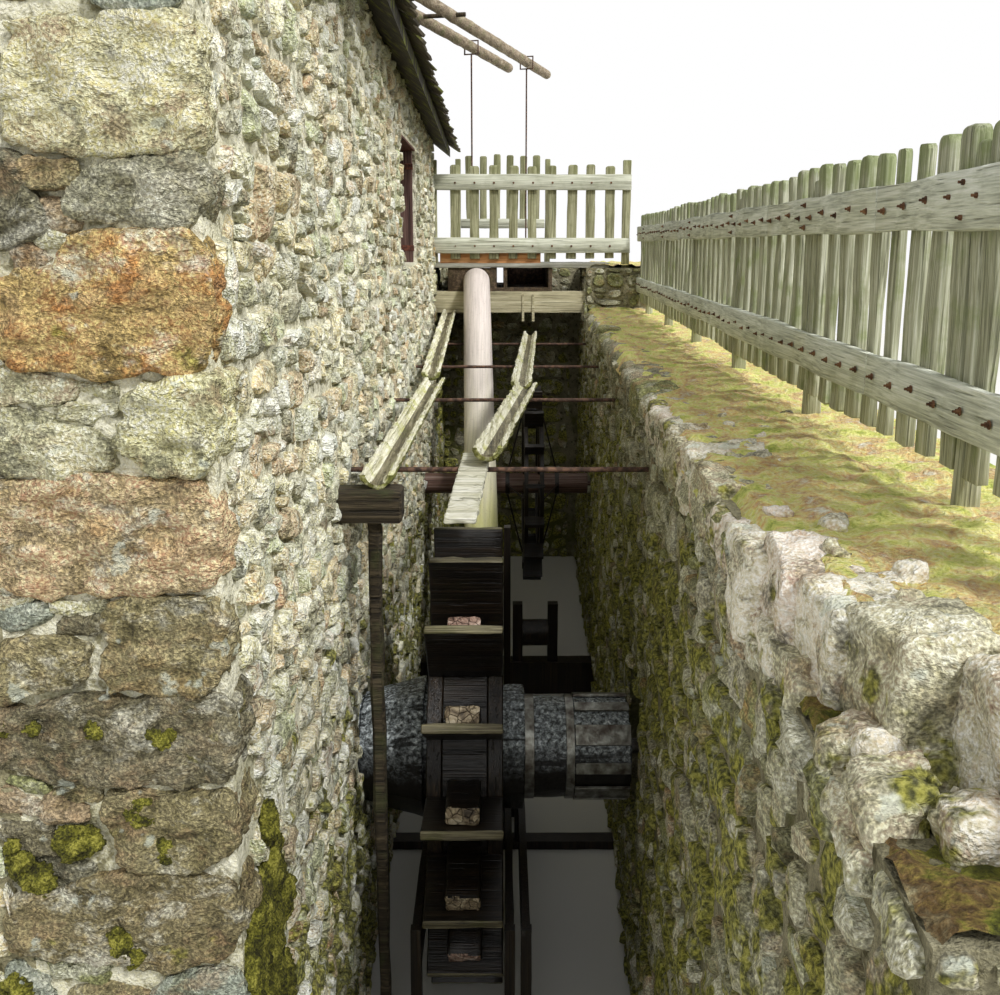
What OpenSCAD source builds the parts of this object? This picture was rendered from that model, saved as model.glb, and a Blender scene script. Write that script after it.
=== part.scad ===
// Water mill on a stone-walled race, with two paddle wheels, a small dam and its fences.
// X runs across the race, Y along it towards the dam, Z up from the foot of the walls.
// The origin is at the foot of the race wall, on its centreline and under the near wheel's axle.

/* [Mill building] */
// Length of the mill along the race
mill_length = 9950; // [9000:50:12000]
// Width of the mill across the race
mill_width = 5600; // [4500:50:7000]
// Thickness of the mill's rubble walls
wall_t = 600; // [500:10:700]
// Distance from the near wheel's axle to the mill's front face
front_to_axle = 2865; // [2600:5:3200]
// Height of the race wall at its front outer corner
eave_h = 5410; // [5300:10:5900]
// Slope of the roof
roof_pitch = 38; // [34:1:42]
// Fall of the old roof towards the dam
roof_fall = 1.8; // [0:0.1:2]
// Thickness of the boards and slates
roof_t = 70; // [60:5:120]
// Overhang of the roof at the eaves
eave_overhang = 195; // [120:5:300]
// Overhang of the roof at the gables
gable_overhang = 120; // [60:5:200]
// Width of each wing of the ridge capping
ridge_wing = 220; // [150:5:300]
// Height of the mill's floor
floor_h = 2000; // [1850:10:2100]
// Thickness of the mill's floor
floor_t = 120; // [80:5:200]
// Width of the ridge beam and the purlins
purlin_w = 150; // [120:5:200]
// Depth of the ridge beam and the purlins
purlin_h = 200; // [150:5:250]

/* [Windows and door] */
// Distance from the near axle to the window in the race wall
window_y = 2935; // [2600:5:3200]
// Width of a window
window_w = 1600; // [1200:10:1800]
// Height of a window
window_h = 950; // [800:10:1000]
// Drop from the eave to the window sills
sill_drop = 1560; // [1500:10:1700]
// Depth at which the shutters stand behind the wall's face
shutter_recess = 150; // [80:5:250]
// Thickness of the shutters and the door
shutter_t = 50; // [35:1:80]
// Distance of a window's frame behind the wall's face
frame_in = 26; // [10:1:40]
// Thickness of a window's frame
frame_t = 45; // [30:1:60]
// Thickness of a window's iron lintel
lintel_t = 18; // [10:1:30]
// Width of the rear door
door_w = 1100; // [900:10:1400]
// Height of the rear door
door_h = 1950; // [1800:10:2100]

/* [Race and dam] */
// Width of the race at the near axle
race_w = 1486; // [1450:1:1600]
// Widening of the race towards the dam, as an angle
race_flare = 1.8; // [1:0.1:2.5]
// Thickness of the retaining wall
retaining_t = 1000; // [900:10:1300]
// Height of the retaining wall
retaining_h = 3250; // [3150:10:3300]
// Reach of the retaining wall before the near axle
retaining_front = 4365; // [4000:5:4800]
// Distance from the mill's back face to the dam's face
dam_back = 1500; // [1450:5:1700]
// Thickness of the dam
dam_t = 415; // [350:5:600]
// Height of the dam and the abutments
dam_h = 3750; // [3700:5:3800]
// Depth of the flume below the dam's top
flume_depth = 260; // [240:5:300]
// Side of the square cross-beam
beam_h = 235; // [200:5:260]
// Thickness of the flume's boards
flume_t = 40; // [30:1:50]
// Thickness of the footbridge's boards
deck_t = 50; // [40:1:70]
// Diameter of a tie rod
rod_d = 25; // [16:1:32]
// Height of the tie rods
rod_h = 2970; // [2940:5:3000]
// Drop of the nearest tie rod below the others
rod_drop = 50; // [40:1:60]

/* [Near wheel] */
// Height of the near wheel's axle
near_h = 1314; // [1280:1:1400]
// Distance from the mill's wall to the middle of the near wheel
near_x = 574; // [560:1:590]
// Radius of the near wheel
near_r = 1210; // [1150:5:1250]
// Width of the near wheel
near_w = 370; // [340:1:390]
// Number of paddles on each wheel
paddle_count = 16; // [12:1:18]
// Angle of the first paddle above level
near_phase = 6; // [0:0.5:22]
// Thickness of a near paddle
near_paddle_t = 45; // [30:1:60]
// Outer radius of the near wheel's rims
near_rim_r = 800; // [760:5:850]
// Depth of the near wheel's rims
near_rim_depth = 160; // [120:5:200]
// Thickness of a near rim
near_rim_t = 75; // [50:1:90]
// Width of the block behind a paddle
start_w = 160; // [120:5:200]
// Thickness of the block behind a paddle
start_t = 85; // [60:1:100]
// Length of paddle left bare beyond its block
start_back = 60; // [40:5:90]
// Diameter of the near shaft where it is round
near_shaft_d = 540; // [500:5:570]
// Thickness of the eight-sided near shaft under the wheel
near_seat_d = 622; // [600:2:640]
// Thickness of the eight-sided near shaft at its swelling beside the wheel
near_swell_d = 714; // [680:2:740]
// Diameter of the near shaft's iron pins
near_pin_d = 80; // [60:1:100]
// Thickness of the iron on the near shaft
iron_t = 10; // [6:1:14]

/* [Far wheel] */
// Distance between the two axles
far_y = 5065; // [4900:5:5200]
// Height of the far wheel's axle
far_h = 1725; // [1650:5:1780]
// Distance from the mill's wall to the middle of the far wheel
far_x = 1057; // [1040:1:1080]
// Radius of the far wheel
far_r = 950; // [880:5:980]
// Angle of the far wheel's first paddle above level
far_phase = 10; // [0:0.5:22]
// Width of the far wheel
far_w = 178; // [150:1:200]
// Thickness of a far paddle
far_paddle_t = 35; // [25:1:45]
// Outer radius of the far wheel's rims
far_rim_r = 780; // [720:5:800]
// Depth of the far wheel's rims
far_rim_depth = 120; // [90:5:150]
// Thickness of a far rim
far_rim_t = 35; // [25:1:45]
// Diameter of the far shaft
far_shaft_d = 200; // [160:5:240]
// Diameter of the far shaft's iron pins
far_pin_d = 50; // [40:1:60]
// Diameter of the stays
stay_d = 16; // [12:1:20]

/* [Pipe and gutters] */
// Diameter of the pipe
pipe_d = 290; // [250:5:300]
// Thickness of the pipe's wall
pipe_t = 8; // [5:1:12]
// Distance from the mill's wall to the middle of the pipe's top end
pipe_x = 480; // [470:1:490]
// Turn of the pipe away from the mill
pipe_turn = 1.7; // [0:0.1:3]
// Slope of the pipe
pipe_slope = 31; // [30:0.5:32]
// Length of the pipe's level stub
pipe_stub = 90; // [60:5:150]
// Length of the pipe's piece between the two bends
pipe_bend = 180; // [150:5:250]
// Diameter of the half-log gutters
gutter_d = 150; // [130:5:200]
// Thickness of the gutters
gutter_t = 28; // [20:1:35]

/* [Levers] */
// Height of the lever poles above the eave
lever_rise = 690; // [640:10:790]
// Diameter of a lever pole
lever_d = 110; // [90:5:120]
// Heading of the lever poles, right of the race
lever_heading = 15.5; // [14:0.1:16]
// Distance from the mill's back face to the levers' pivot
lever_in = 1450; // [1380:5:1500]
// Distance from the mill's wall back to the first pole at the pivot
lever_x = 25; // [0:1:60]
// Spacing of the two poles, across the race
lever_gap = 333; // [320:1:360]
// Length of a pole behind its pivot
lever_tail = 1400; // [1200:10:1450]
// Length of the first pole beyond its pivot
lever_a_reach = 3260; // [3000:10:3400]
// Length of the second pole beyond its pivot
lever_b_reach = 3920; // [3600:10:4000]
// Diameter of a gate's iron rod
gate_rod_d = 18; // [14:1:22]
// Diameter of the levers' pivot pin
pivot_d = 40; // [30:1:50]

/* [Fences] */
// Width of a picket
picket_w = 105; // [80:5:130]
// Thickness of a picket
picket_t = 40; // [30:1:50]
// Spacing of the pickets along the race
picket_pitch = 200; // [180:5:230]
// Height of a rail
rail_h = 150; // [120:5:170]
// Thickness of a rail
rail_t = 40; // [30:1:50]
// Side of a square post
post_w = 90; // [75:1:100]
// Pickets in each bay of the fence along the race
bay_pickets = 9; // [7:1:9]
// Distance from the race to the fence along it
fence_back = 557; // [500:5:620]

/* [Hidden] */
$fn = 64;

// Clearances: running pins, moving pieces and resting gates
pin_fit = 0.05;
move_gap = 12;
rest_gap = 0.5;
lay_gap = 0.1;
band_fit = 0.3;
eps = 1;
tall = eave_h + mill_width;

// Plan of the mill
sill_h = eave_h - sill_drop;
face_x = wall_t / 2;
inner_x = -wall_t / 2;
rear_x = face_x - mill_width;
ridge_x = (face_x + rear_x) / 2;
front_y = -front_to_axle;
back_y = front_y + mill_length;
ridge_rise = (face_x - ridge_x) * tan(roof_pitch);
slope_t = roof_t / cos(roof_pitch);
dam_y = back_y + dam_back;
end_y = dam_y + dam_t;
lever_y = back_y - lever_in;
lever_h = eave_h + lever_rise;

// Places along and across the race
near_cx = face_x + near_x;
far_cx = face_x + far_x;
fence_y = back_y + 80;
beam_y = back_y + 65;
beam_top = dam_h - flume_depth;
flume_floor = beam_top + flume_t;
flume_front = beam_y;
rod_ys = [-300, 1885, 4035, back_y - 750];
rod_zs = [rod_h - rod_drop, rod_h, rod_h, rod_h];
gutter_z = rod_h + rod_d / 2 + gutter_d / 2;

// The race's right-hand side leans out towards the dam
function race_right_x(y) = face_x + race_w + y * tan(race_flare);

module along_y(length) {
    rotate([90, 0, 0])
        translate([0, 0, -length])
            linear_extrude(length)
                children();
}

module along_x(length) {
    rotate([90, 0, 90])
        linear_extrude(length)
            children();
}

module disc_x(r, length) {
    rotate([0, 90, 0])
        cylinder(r = r, h = length);
}

module block(low, high) {
    translate(low)
        cube(high - low);
}

// From one point to another, with the part's +X side down where it lies level
module between(p, q) {
    v = q - p;
    translate(p)
        rotate([0, acos(v.z / norm(v)), atan2(v.y, v.x)])
            children();
}

module race_right() {
    translate([face_x + race_w, 0, 0])
        rotate([0, 0, -race_flare])
            children();
}

module retaining_solid() {
    race_right() {
        block([0, -retaining_front, 0], [retaining_t, end_y, retaining_h]);
        block([0, fence_end + 10, retaining_h - eps], [retaining_t, end_y, dam_h]);
    }
}

// The roof falls a little from the front gable to the back one
module roof_frame() {
    translate([0, front_y, eave_h])
        rotate([-roof_fall, 0, 0])
            children();
}

// Roof outline over the eaves, from its underside up to a height above it
module roof_outline(low, high, out) {
    drop = out * tan(roof_pitch);
    polygon([
        [face_x + out, low - drop],
        [face_x + out, high - drop],
        [ridge_x, ridge_rise + high],
        [rear_x - out, high - drop],
        [rear_x - out, low - drop],
        [ridge_x, ridge_rise + low]
    ]);
}

module under_roof() {
    roof_frame()
        translate([0, -tall / 2, -lay_gap])
            along_y(mill_length + tall)
                polygon([
                    [face_x + eps, -tall],
                    [face_x + eps, -eps * tan(roof_pitch)],
                    [ridge_x, ridge_rise],
                    [rear_x - eps, -eps * tan(roof_pitch)],
                    [rear_x - eps, -tall]
                ]);
}

// Ridge beam and one purlin on each slope, which run through both gables
module timbers() {
    mid = (face_x - ridge_x) / 2;
    roof_frame()
        translate([0, -gable_overhang, -lay_gap]) {
            along_y(mill_length + 2 * gable_overhang)
                translate([ridge_x - purlin_w / 2, ridge_rise - purlin_w / 2 * tan(roof_pitch) - purlin_h])
                    square([purlin_w, purlin_h]);
            for (side = [-1, 1])
                along_y(mill_length + 2 * gable_overhang)
                    translate([ridge_x + side * mid, ridge_rise / 2])
                        rotate(-side * roof_pitch)
                            translate([-purlin_w / 2, -purlin_h])
                                square([purlin_w, purlin_h]);
        }
}

module race_wall() {
    color("darkkhaki")
        difference() {
            intersection() {
                block([inner_x, front_y, 0], [face_x, back_y, tall]);
                under_roof();
            }
            translate([0, window_y, sill_h])
                translate([inner_x - eps, 0, 0])
                    cube([wall_t + 2 * eps, window_w, window_h + lintel_t]);
            translate([inner_x - eps, 0, near_h])
                disc_x(near_shaft_d / 2 + 60, wall_t + 2 * eps);
            translate([inner_x - eps, far_y, far_h])
                disc_x(far_shaft_d / 2 + 50, wall_t + 2 * eps);
            mast_post(0);
        }
}

module gable_wall(y) {
    difference() {
        intersection() {
            block([rear_x + wall_t, y, 0], [inner_x, y + wall_t, tall]);
            under_roof();
        }
        timbers();
        translate([ridge_x - window_w / 2, y - eps, sill_h])
            cube([window_w, wall_t + 2 * eps, window_h + lintel_t]);
    }
}

module front_gable_wall() {
    color("darkkhaki")
        gable_wall(front_y);
}

module back_gable_wall() {
    color("darkkhaki")
        gable_wall(back_y - wall_t);
}

rear_window_in = 1400;
rear_window_ys = [front_y + rear_window_in, back_y - rear_window_in - window_w];
rear_door_y = (front_y + back_y - door_w) / 2;

module rear_wall() {
    color("darkkhaki")
        difference() {
            intersection() {
                block([rear_x, front_y, 0], [rear_x + wall_t, back_y, tall]);
                under_roof();
            }
            for (y = rear_window_ys)
                translate([rear_x - eps, y, sill_h])
                    cube([wall_t + 2 * eps, window_w, window_h + lintel_t]);
            translate([rear_x - eps, rear_door_y, floor_h + floor_t])
                cube([wall_t + 2 * eps, door_w, door_h + lintel_t]);
        }
}

module mill_floor() {
    color("peru")
        block([rear_x + wall_t, front_y + wall_t, floor_h],
            [inner_x, back_y - wall_t, floor_h + floor_t]);
}

module roof_slope(side) {
    roof_frame()
        difference() {
            translate([0, -gable_overhang, 0])
                along_y(mill_length + 2 * gable_overhang)
                    roof_outline(0, slope_t, eave_overhang);
            block([ridge_x + min(0, side * tall), -tall, -tall], [ridge_x + max(0, side * tall), 2 * tall, tall]);
        }
}

module roof_race_slope() {
    color("dimgray")
        difference() {
            roof_slope(-1);
            mast_post(move_gap / 4);
        }
}

module roof_rear_slope() {
    color("dimgray")
        roof_slope(1);
}

module ridge_cap() {
    cap_t = 25;
    color("slategray")
        roof_frame()
            translate([0, -gable_overhang, slope_t])
                along_y(mill_length + 2 * gable_overhang)
                    intersection() {
                        roof_outline(0, cap_t / cos(roof_pitch), 0);
                        translate([ridge_x - ridge_wing * cos(roof_pitch), 0])
                            square([2 * ridge_wing * cos(roof_pitch), tall]);
                    }
}

module roof_timbers() {
    color("saddlebrown")
        timbers();
}

// A closed plank shutter behind its frame's two uprights, with its iron lintel, in a hole of which
// the outer face looks along +X
module shutter() {
    translate([-shutter_recess - shutter_t, 0, 0])
        cube([shutter_t, window_w, window_h]);
    for (y = [0, window_w - frame_t])
        translate([-shutter_recess - eps, y, 0])
            cube([shutter_recess - frame_in + eps, frame_t, window_h]);
    translate([-wall_t, 0, window_h])
        cube([wall_t, window_w, lintel_t]);
}

module race_shutter() {
    color("sienna")
        translate([face_x, window_y, sill_h])
            shutter();
}

module other_shutters() {
    color("sienna") {
        for (y = rear_window_ys)
            translate([rear_x, y + window_w, sill_h])
                rotate([0, 0, 180])
                    shutter();
        translate([ridge_x - window_w / 2, front_y, sill_h])
            rotate([0, 0, -90])
                shutter();
        translate([ridge_x + window_w / 2, back_y, sill_h])
            rotate([0, 0, 90])
                shutter();
    }
}

module rear_door() {
    color("sienna")
        translate([rear_x, rear_door_y, floor_h + floor_t]) {
            translate([shutter_recess, 0, 0])
                cube([shutter_t, door_w, door_h]);
            translate([0, 0, door_h])
                cube([wall_t, door_w, lintel_t]);
        }
}

// A niche in the retaining wall for the outer bearing of a shaft
module niche(y, h, r) {
    race_right()
        block([-eps, y - r - niche_side, h - r - niche_foot], [niche_depth, y + r + niche_side, h + r + niche_head]);
}

niche_depth = 420;
niche_side = 100;
niche_foot = 60;
niche_head = 120;
near_niche_r = near_shaft_d / 2;
far_niche_r = far_shaft_d / 2 + 40;

module retaining_wall() {
    color("olivedrab")
        difference() {
            retaining_solid();
            niche(0, near_h, near_niche_r);
            niche(far_y, far_h, far_niche_r);
            broken_edge();
        }
}

// The front end of the bank wall has lost its top edge stones towards the race
break_h = 210;
break_points = [[12, 1479], [79, 837], [218, 608], [330, 0]];

module broken_edge() {
    race_right()
        translate([0, -retaining_front, retaining_h - break_h])
            linear_extrude(break_h + eps)
                polygon([
                    for (p = break_points) p,
                    [break_points[3].x, -eps],
                    [-eps, -eps],
                    [-eps, break_points[0].y + wall_t]
                ]);
}

module dam_wall() {
    color("gray")
        difference() {
            block([face_x, dam_y, 0], [face_x + race_w + retaining_t / 2, end_y, dam_h]);
            retaining_solid();
            block([flume_left - lay_gap, dam_y - eps, beam_top - lay_gap],
                [flume_right + lay_gap, end_y + eps, dam_h + eps]);
        }
}

module left_abutment() {
    color("gray")
        block([inner_x, back_y, 0], [face_x, end_y, dam_h]);
}

pier_x = inner_x - 130;
pier_l = 400;
near_seat = near_h - near_pin_d / 2 - 110;
far_seat = far_h - far_pin_d / 2 - 90;

module bearing_piers() {
    color("gray")
        for (p = [[0, near_seat], [far_y, far_seat]])
            block([pier_x - pier_l, p[0] - 260, 0], [pier_x, p[0] + 260, p[1]]);
}

// A bearing block bored for an iron pin along X
module bearing(x, y, low, h, pin_d, half_w) {
    top = h + pin_d / 2 + 60;
    difference() {
        block([x, y - half_w, low], [x + bearing_l, y + half_w, top]);
        translate([x - eps, y, h])
            disc_x(pin_d / 2 + pin_fit, bearing_l + 2 * eps);
    }
}

bearing_l = 180;
near_inner_x = pier_x - 300;
far_inner_x = pier_x - 300;
near_outer_x = race_right_x(0) + 140;
far_outer_x = race_right_x(far_y) + 120;

module shaft_bearings() {
    color("peru") {
        bearing(near_inner_x, 0, near_seat, near_h, near_pin_d, 180);
        bearing(near_outer_x, 0, near_h - near_niche_r - niche_foot + lay_gap, near_h, near_pin_d, 180);
        bearing(far_inner_x, far_y, far_seat, far_h, far_pin_d, 110);
        bearing(far_outer_x, far_y, far_h - far_niche_r - niche_foot + lay_gap, far_h, far_pin_d, 110);
    }
}

// Two laths hang on the beam over the head of the right gutters
lath_xs = [992, 1106];
lath_w = 23;
lath_t = 18;
lath_drop = [30, 330];

module cross_beam() {
    color("dimgray") {
        difference() {
            block([face_x, beam_y, beam_top - beam_h],
                [face_x + race_w + retaining_t / 2, beam_y + beam_h, beam_top]);
            retaining_solid();
        }
        for (x = lath_xs)
            block([face_x + x, beam_y - lath_t, beam_top - lath_drop[1]],
                [face_x + x + lath_w, beam_y + eps, beam_top - lath_drop[0]]);
    }
}

// The flume has one channel for each gate, with guides that hold the gates
gate_a_y = fence_y + 120;
gate_b_in = 250;
gate_b_y = dam_y - gate_b_in;
function pole_x(i, y) = face_x - lever_x + i * lever_gap + (y - lever_y) * tan(lever_heading);
gate_a_x = pole_x(0, gate_a_y);
gate_b_x = pole_x(1, gate_b_y);
gate_w = 440;
gate_t = 40;
gate_h = dam_h - flume_floor - 10;
channel_w = gate_w + 2 * move_gap;
flume_left = gate_a_x - channel_w / 2 - flume_t;
flume_right = gate_b_x + channel_w / 2 + flume_t;
flume_mid = (gate_a_x + gate_b_x) / 2;
side_h = dam_h - flume_floor;

module guides(x, y) {
    for (side = [-1, 1])
        for (lap = [-1, 1])
            translate([x + side * (channel_w / 2 - 15), y + lap * (gate_t / 2 + move_gap + 10), flume_floor])
                translate([-15, -10, 0])
                    cube([30, 20, side_h]);
}

module flume() {
    color("saddlebrown")
        difference() {
            union() {
                block([flume_left, flume_front, beam_top], [flume_right, end_y, flume_floor]);
                for (x = [flume_left, gate_a_x + channel_w / 2, flume_right - flume_t])
                    block([x, flume_front, flume_floor - eps], [x + flume_t, end_y, dam_h]);
                block([gate_b_x - channel_w / 2 - flume_t, flume_front, flume_floor - eps],
                    [gate_b_x - channel_w / 2, end_y, dam_h]);
                block([flume_left, flume_front, flume_floor - eps],
                    [gate_a_x + channel_w / 2, flume_front + flume_t, dam_h]);
                guides(gate_a_x, gate_a_y);
                guides(gate_b_x, gate_b_y);
            }
            translate([face_x + pipe_x, flume_front + flume_t + eps, pipe_top_z])
                rotate([90, 0, 0])
                    cylinder(d = outlet_d, h = flume_t + 2 * eps);
        }
}

// The boards leave a slot for each gate, and bear on the banks at both ends
deck_left = inner_x + 350;
deck_bearing = 250;
gate_slot = 45;

module footbridge_deck() {
    color("darkgray") {
        block([deck_left, fence_y - rail_t, dam_h + lay_gap],
            [race_right_x(fence_y) + deck_bearing, gate_a_y - gate_slot + 10, dam_h + deck_t]);
        block([deck_left, gate_a_y + gate_slot, dam_h + lay_gap],
            [race_right_x(gate_b_y) + deck_bearing, gate_b_y - gate_slot, dam_h + deck_t]);
    }
}

edge_board_x = 70;
edge_board_l = 1130;
edge_board_t = 40;
edge_board_h = 115;

module edge_board() {
    color("sandybrown")
        translate([face_x + edge_board_x, fence_y + picket_t, dam_h + deck_t])
            cube([edge_board_l, edge_board_t, edge_board_h]);
}

// A picket with clipped top corners, which looks along Y
module picket(w, h) {
    clip = w / 5;
    along_y(picket_t)
        polygon([[0, 0], [w, 0], [w, h - clip], [w - clip, h], [clip, h], [0, h - clip]]);
}

// Fence over the footbridge: feet of its rails above the pickets' feet, and its pickets' height
bridge_foot = dam_h + deck_t + 50;
bridge_rails = [62, 742];
bridge_rail_h = rail_h + 15;
bridge_picket_h = 1010;
bridge_pitch = 215;
bridge_pickets = 9;
bridge_first = 240;
bridge_beyond = 480;
bridge_post_h = bridge_picket_h + 50;

module bridge_fence() {
    left_x = face_x - post_w / 2;
    right_x = race_right_x(fence_y) + bridge_beyond;
    color("darkgray") {
        for (z = bridge_rails)
            block([left_x, fence_y - rail_t, bridge_foot + z], [right_x, fence_y, bridge_foot + z + bridge_rail_h]);
        for (i = [0:bridge_pickets - 1])
            translate([left_x + bridge_first + i * bridge_pitch, fence_y - eps / 10, bridge_foot])
                picket(picket_w, bridge_picket_h);
        block([left_x, fence_y - eps / 10, dam_h + deck_t],
            [left_x + post_w, fence_y + picket_t, bridge_foot + bridge_post_h]);
        block([right_x - post_w, fence_y - eps / 10, dam_h],
            [right_x, fence_y + picket_t, bridge_foot + bridge_post_h]);
    }
}

// Railing on the dam: one low rail between two thin posts
rack_foot = dam_h + 450;
rack_pitch = 163;
rack_pickets = 6;
rack_picket_w = 86;
rack_picket_h = 890;
rack_rail_h = 115;
rack_post_w = 60;
rack_post_h = 820;
rack_x = face_x + 260;

module back_railing() {
    rack_y = dam_y + rail_t / 2;
    rack_l = rack_pickets * rack_pitch + rack_post_w;
    color("darkgray") {
        block([rack_x, rack_y - rail_t, rack_foot], [rack_x + rack_l, rack_y, rack_foot + rack_rail_h]);
        for (i = [0:rack_pickets - 1])
            translate([rack_x + 70 + i * rack_pitch, rack_y - eps / 10, rack_foot])
                picket(rack_picket_w, rack_picket_h);
        for (x = [rack_x - rack_post_w, rack_x + rack_l])
            block([x, rack_y - rail_t, dam_h], [x + rack_post_w, rack_y + picket_t, rack_foot + rack_post_h]);
    }
}

// Fence along the race: feet of its rails above the pickets' feet, and the post behind each bay
bay_l = bay_pickets * picket_pitch;
fence_end = fence_y - 60;
fence_foot = retaining_h + 130;
fence_rails = [115, 660];
fence_picket_h = 940;
bay_post_w = 60;
bay_post_t = 70;
bay_post_h = 880;

module race_fence(i) {
    y = fence_end - (i + 1) * bay_l;
    post_y = (bay_l + picket_pitch - bay_post_w) / 2;
    color("darkgray")
        race_right()
            translate([fence_back, y, 0]) {
                for (z = fence_rails)
                    block([0, 0, fence_foot + z], [rail_t, bay_l, fence_foot + z + rail_h]);
                for (j = [0:bay_pickets - 1])
                    translate([rail_t - eps / 10, j * picket_pitch + (picket_pitch + picket_w) / 2, fence_foot])
                        rotate([0, 0, -90])
                            picket(picket_w, fence_picket_h);
                block([rail_t - eps / 10, post_y, retaining_h],
                    [rail_t + bay_post_t, post_y + bay_post_w, fence_foot + bay_post_h]);
            }
}

// The rods run from wall to wall, and the bank wall meets them at a slant
module tie_rods() {
    slant = rod_d / 2 * tan(race_flare) + lay_gap;
    color("firebrick")
        for (i = [0:len(rod_ys) - 1])
            translate([face_x, rod_ys[i], rod_zs[i]])
                disc_x(rod_d / 2, race_right_x(rod_ys[i]) - face_x - slant);
}

// The pipe leaves the flume level under the footbridge, bends down at two welded joints and ends
// behind the near wheel
outlet_d = 150;
pipe_top_z = dam_h - pipe_d / 2 - 2;
pipe_foot_y = 1450;
bend_y = flume_front - pipe_stub;
bend_end = [bend_y - pipe_bend * cos(pipe_slope / 2), pipe_top_z - pipe_bend * sin(pipe_slope / 2)];
pipe_run = (bend_end[0] - pipe_foot_y) / cos(pipe_slope);
pipe_points = [
    [flume_front + 20, pipe_top_z],
    [bend_y, pipe_top_z],
    bend_end,
    [pipe_foot_y, bend_end[1] - pipe_run * sin(pipe_slope)]
];
pipe_joints = [0, pipe_slope / 4, pipe_slope * 3 / 4, pipe_slope];
function pipe_z(y) = pipe_points[3][1] + (y - pipe_foot_y) * tan(pipe_slope);

// Space on one side of the plane across the pipe at a point
module pipe_cut(i, side) {
    translate([0, pipe_points[i][0], pipe_points[i][1]])
        rotate([pipe_joints[i], 0, 0])
            block([-pipe_d, min(0, side * 2 * pipe_d), -2 * pipe_d], [pipe_d, max(0, side * 2 * pipe_d), 2 * pipe_d]);
}

module pipe_piece(i) {
    length = norm(pipe_points[i + 1] - pipe_points[i]);
    difference() {
        translate([0, pipe_points[i][0], pipe_points[i][1]])
            rotate([90 + i * pipe_slope / 2, 0, 0])
                translate([0, 0, -pipe_d])
                    linear_extrude(length + 2 * pipe_d)
                        children();
        pipe_cut(i, 1);
        pipe_cut(i + 1, -1);
    }
}

// Carries its outline along the whole pipe
module pipe_path() {
    difference() {
        translate([face_x + pipe_x, flume_front, 0])
            rotate([0, 0, pipe_turn])
                translate([0, -flume_front, 0])
                    for (i = [0:2])
                        pipe_piece(i)
                            children();
        block([0, flume_front, 0], [tall, tall, tall]);
    }
}

module penstock_pipe() {
    color("rosybrown")
        pipe_path()
            difference() {
                circle(d = pipe_d);
                circle(d = pipe_d - 2 * pipe_t);
            }
}

module half_log(p, q) {
    between(p, q)
        linear_extrude(norm(q - p))
            difference() {
                circle(d = gutter_d);
                circle(d = gutter_d - 2 * gutter_t);
                translate([-gutter_d, -gutter_d])
                    square([gutter_d, 2 * gutter_d]);
            }
}

// The lower gutter's mouth ends over the plank, which lies on the nearest rod
module right_gutters() {
    color("olive") {
        half_log([face_x + 1084, beam_y - 150, gutter_z], [face_x + 893, 2260, gutter_z]);
        half_log([face_x + 932, 2180, gutter_z], [face_x + 685, -430, gutter_z]);
    }
}

bracket_y = -765;
bracket_top = 2930;
bracket_h = 150;
bracket_w = 160;
bracket_l = 304;
bracket_front = bracket_y - bracket_w / 2;
left_y = [2375, bracket_front + 10];
left_slope = (rod_h + rod_d / 2 - bracket_top) / (rod_ys[1] - bracket_front);

// Centre of the left lower gutter, which lies on a rod and on the bracket's front edge
function left_z(y) = bracket_top + rest_gap + gutter_d / 2 / cos(atan(left_slope))
    + left_slope * (y - bracket_front);

// Centre of the left upper gutter, which lies on a rod and leans on the cross-beam's face
upper_y = [beam_y + 10, rod_ys[2] - 700];
upper_head = beam_top - beam_h + 35;
upper_slope = (upper_head - rod_h - rod_d / 2 - gutter_d / 2) / (upper_y[0] - rod_ys[2]);
function upper_z(y) = rod_h + rod_d / 2 + rest_gap + gutter_d / 2 / cos(atan(upper_slope))
    + upper_slope * (y - rod_ys[2]);

module left_gutters() {
    color("olive") {
        difference() {
            half_log([face_x + 174, upper_y[0], upper_z(upper_y[0])], [face_x + 187, upper_y[1], upper_z(upper_y[1])]);
            block([0, beam_y, 0], [tall, tall, tall]);
        }
        half_log([face_x + 274, left_y[0], left_z(left_y[0])], [face_x + 195, left_y[1], left_z(left_y[1])]);
    }
}

plank_t = 30;
plank_w = 140;
plank_slope = 8;
plank_turn = 3.6;
plank_front = 760;
plank_back = (rod_drop - plank_t / cos(plank_slope)) / sin(plank_slope) - rod_d / 2 * tan(plank_slope / 2);
plank_low = rod_d / 2 + plank_w / 2 * sin(plank_turn) * sin(plank_slope) + rest_gap / 5;

module gutter_plank() {
    color("silver")
        translate([face_x + 619, rod_ys[0], rod_zs[0]])
            rotate([0, 0, -plank_turn])
                rotate([plank_slope, 0, 0])
                    block([-plank_w / 2, -plank_front, plank_low], [plank_w / 2, plank_back, plank_low + plank_t]);
}

module gutter_bracket() {
    post = [70, 60];
    post_x = face_x + 170;
    color("saddlebrown") {
        block([face_x, bracket_front, bracket_top - bracket_h],
            [face_x + bracket_l, bracket_front + bracket_w, bracket_top]);
        block([post_x - post.y / 2, bracket_y - post.x / 2, 0],
            [post_x + post.y / 2, bracket_y + post.x / 2, bracket_top - bracket_h + eps]);
    }
}

// Boards beside the near wheel on posts and sleepers, the far wheel's sill and the pipe's saddle
board_ys = [-1000, near_r + 40];
board_xs = [near_cx - near_w / 2 - 43, near_cx + near_w / 2 + 31, near_cx + near_w / 2 + 109];
board_top = 850;
board_h = 250;
board_t = 38;
sleeper_h = 60;
sleeper_w = 120;
stub_w = 50;
upright_w = 44;
upright_back = 60;
upright_top = 2240;

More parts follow.
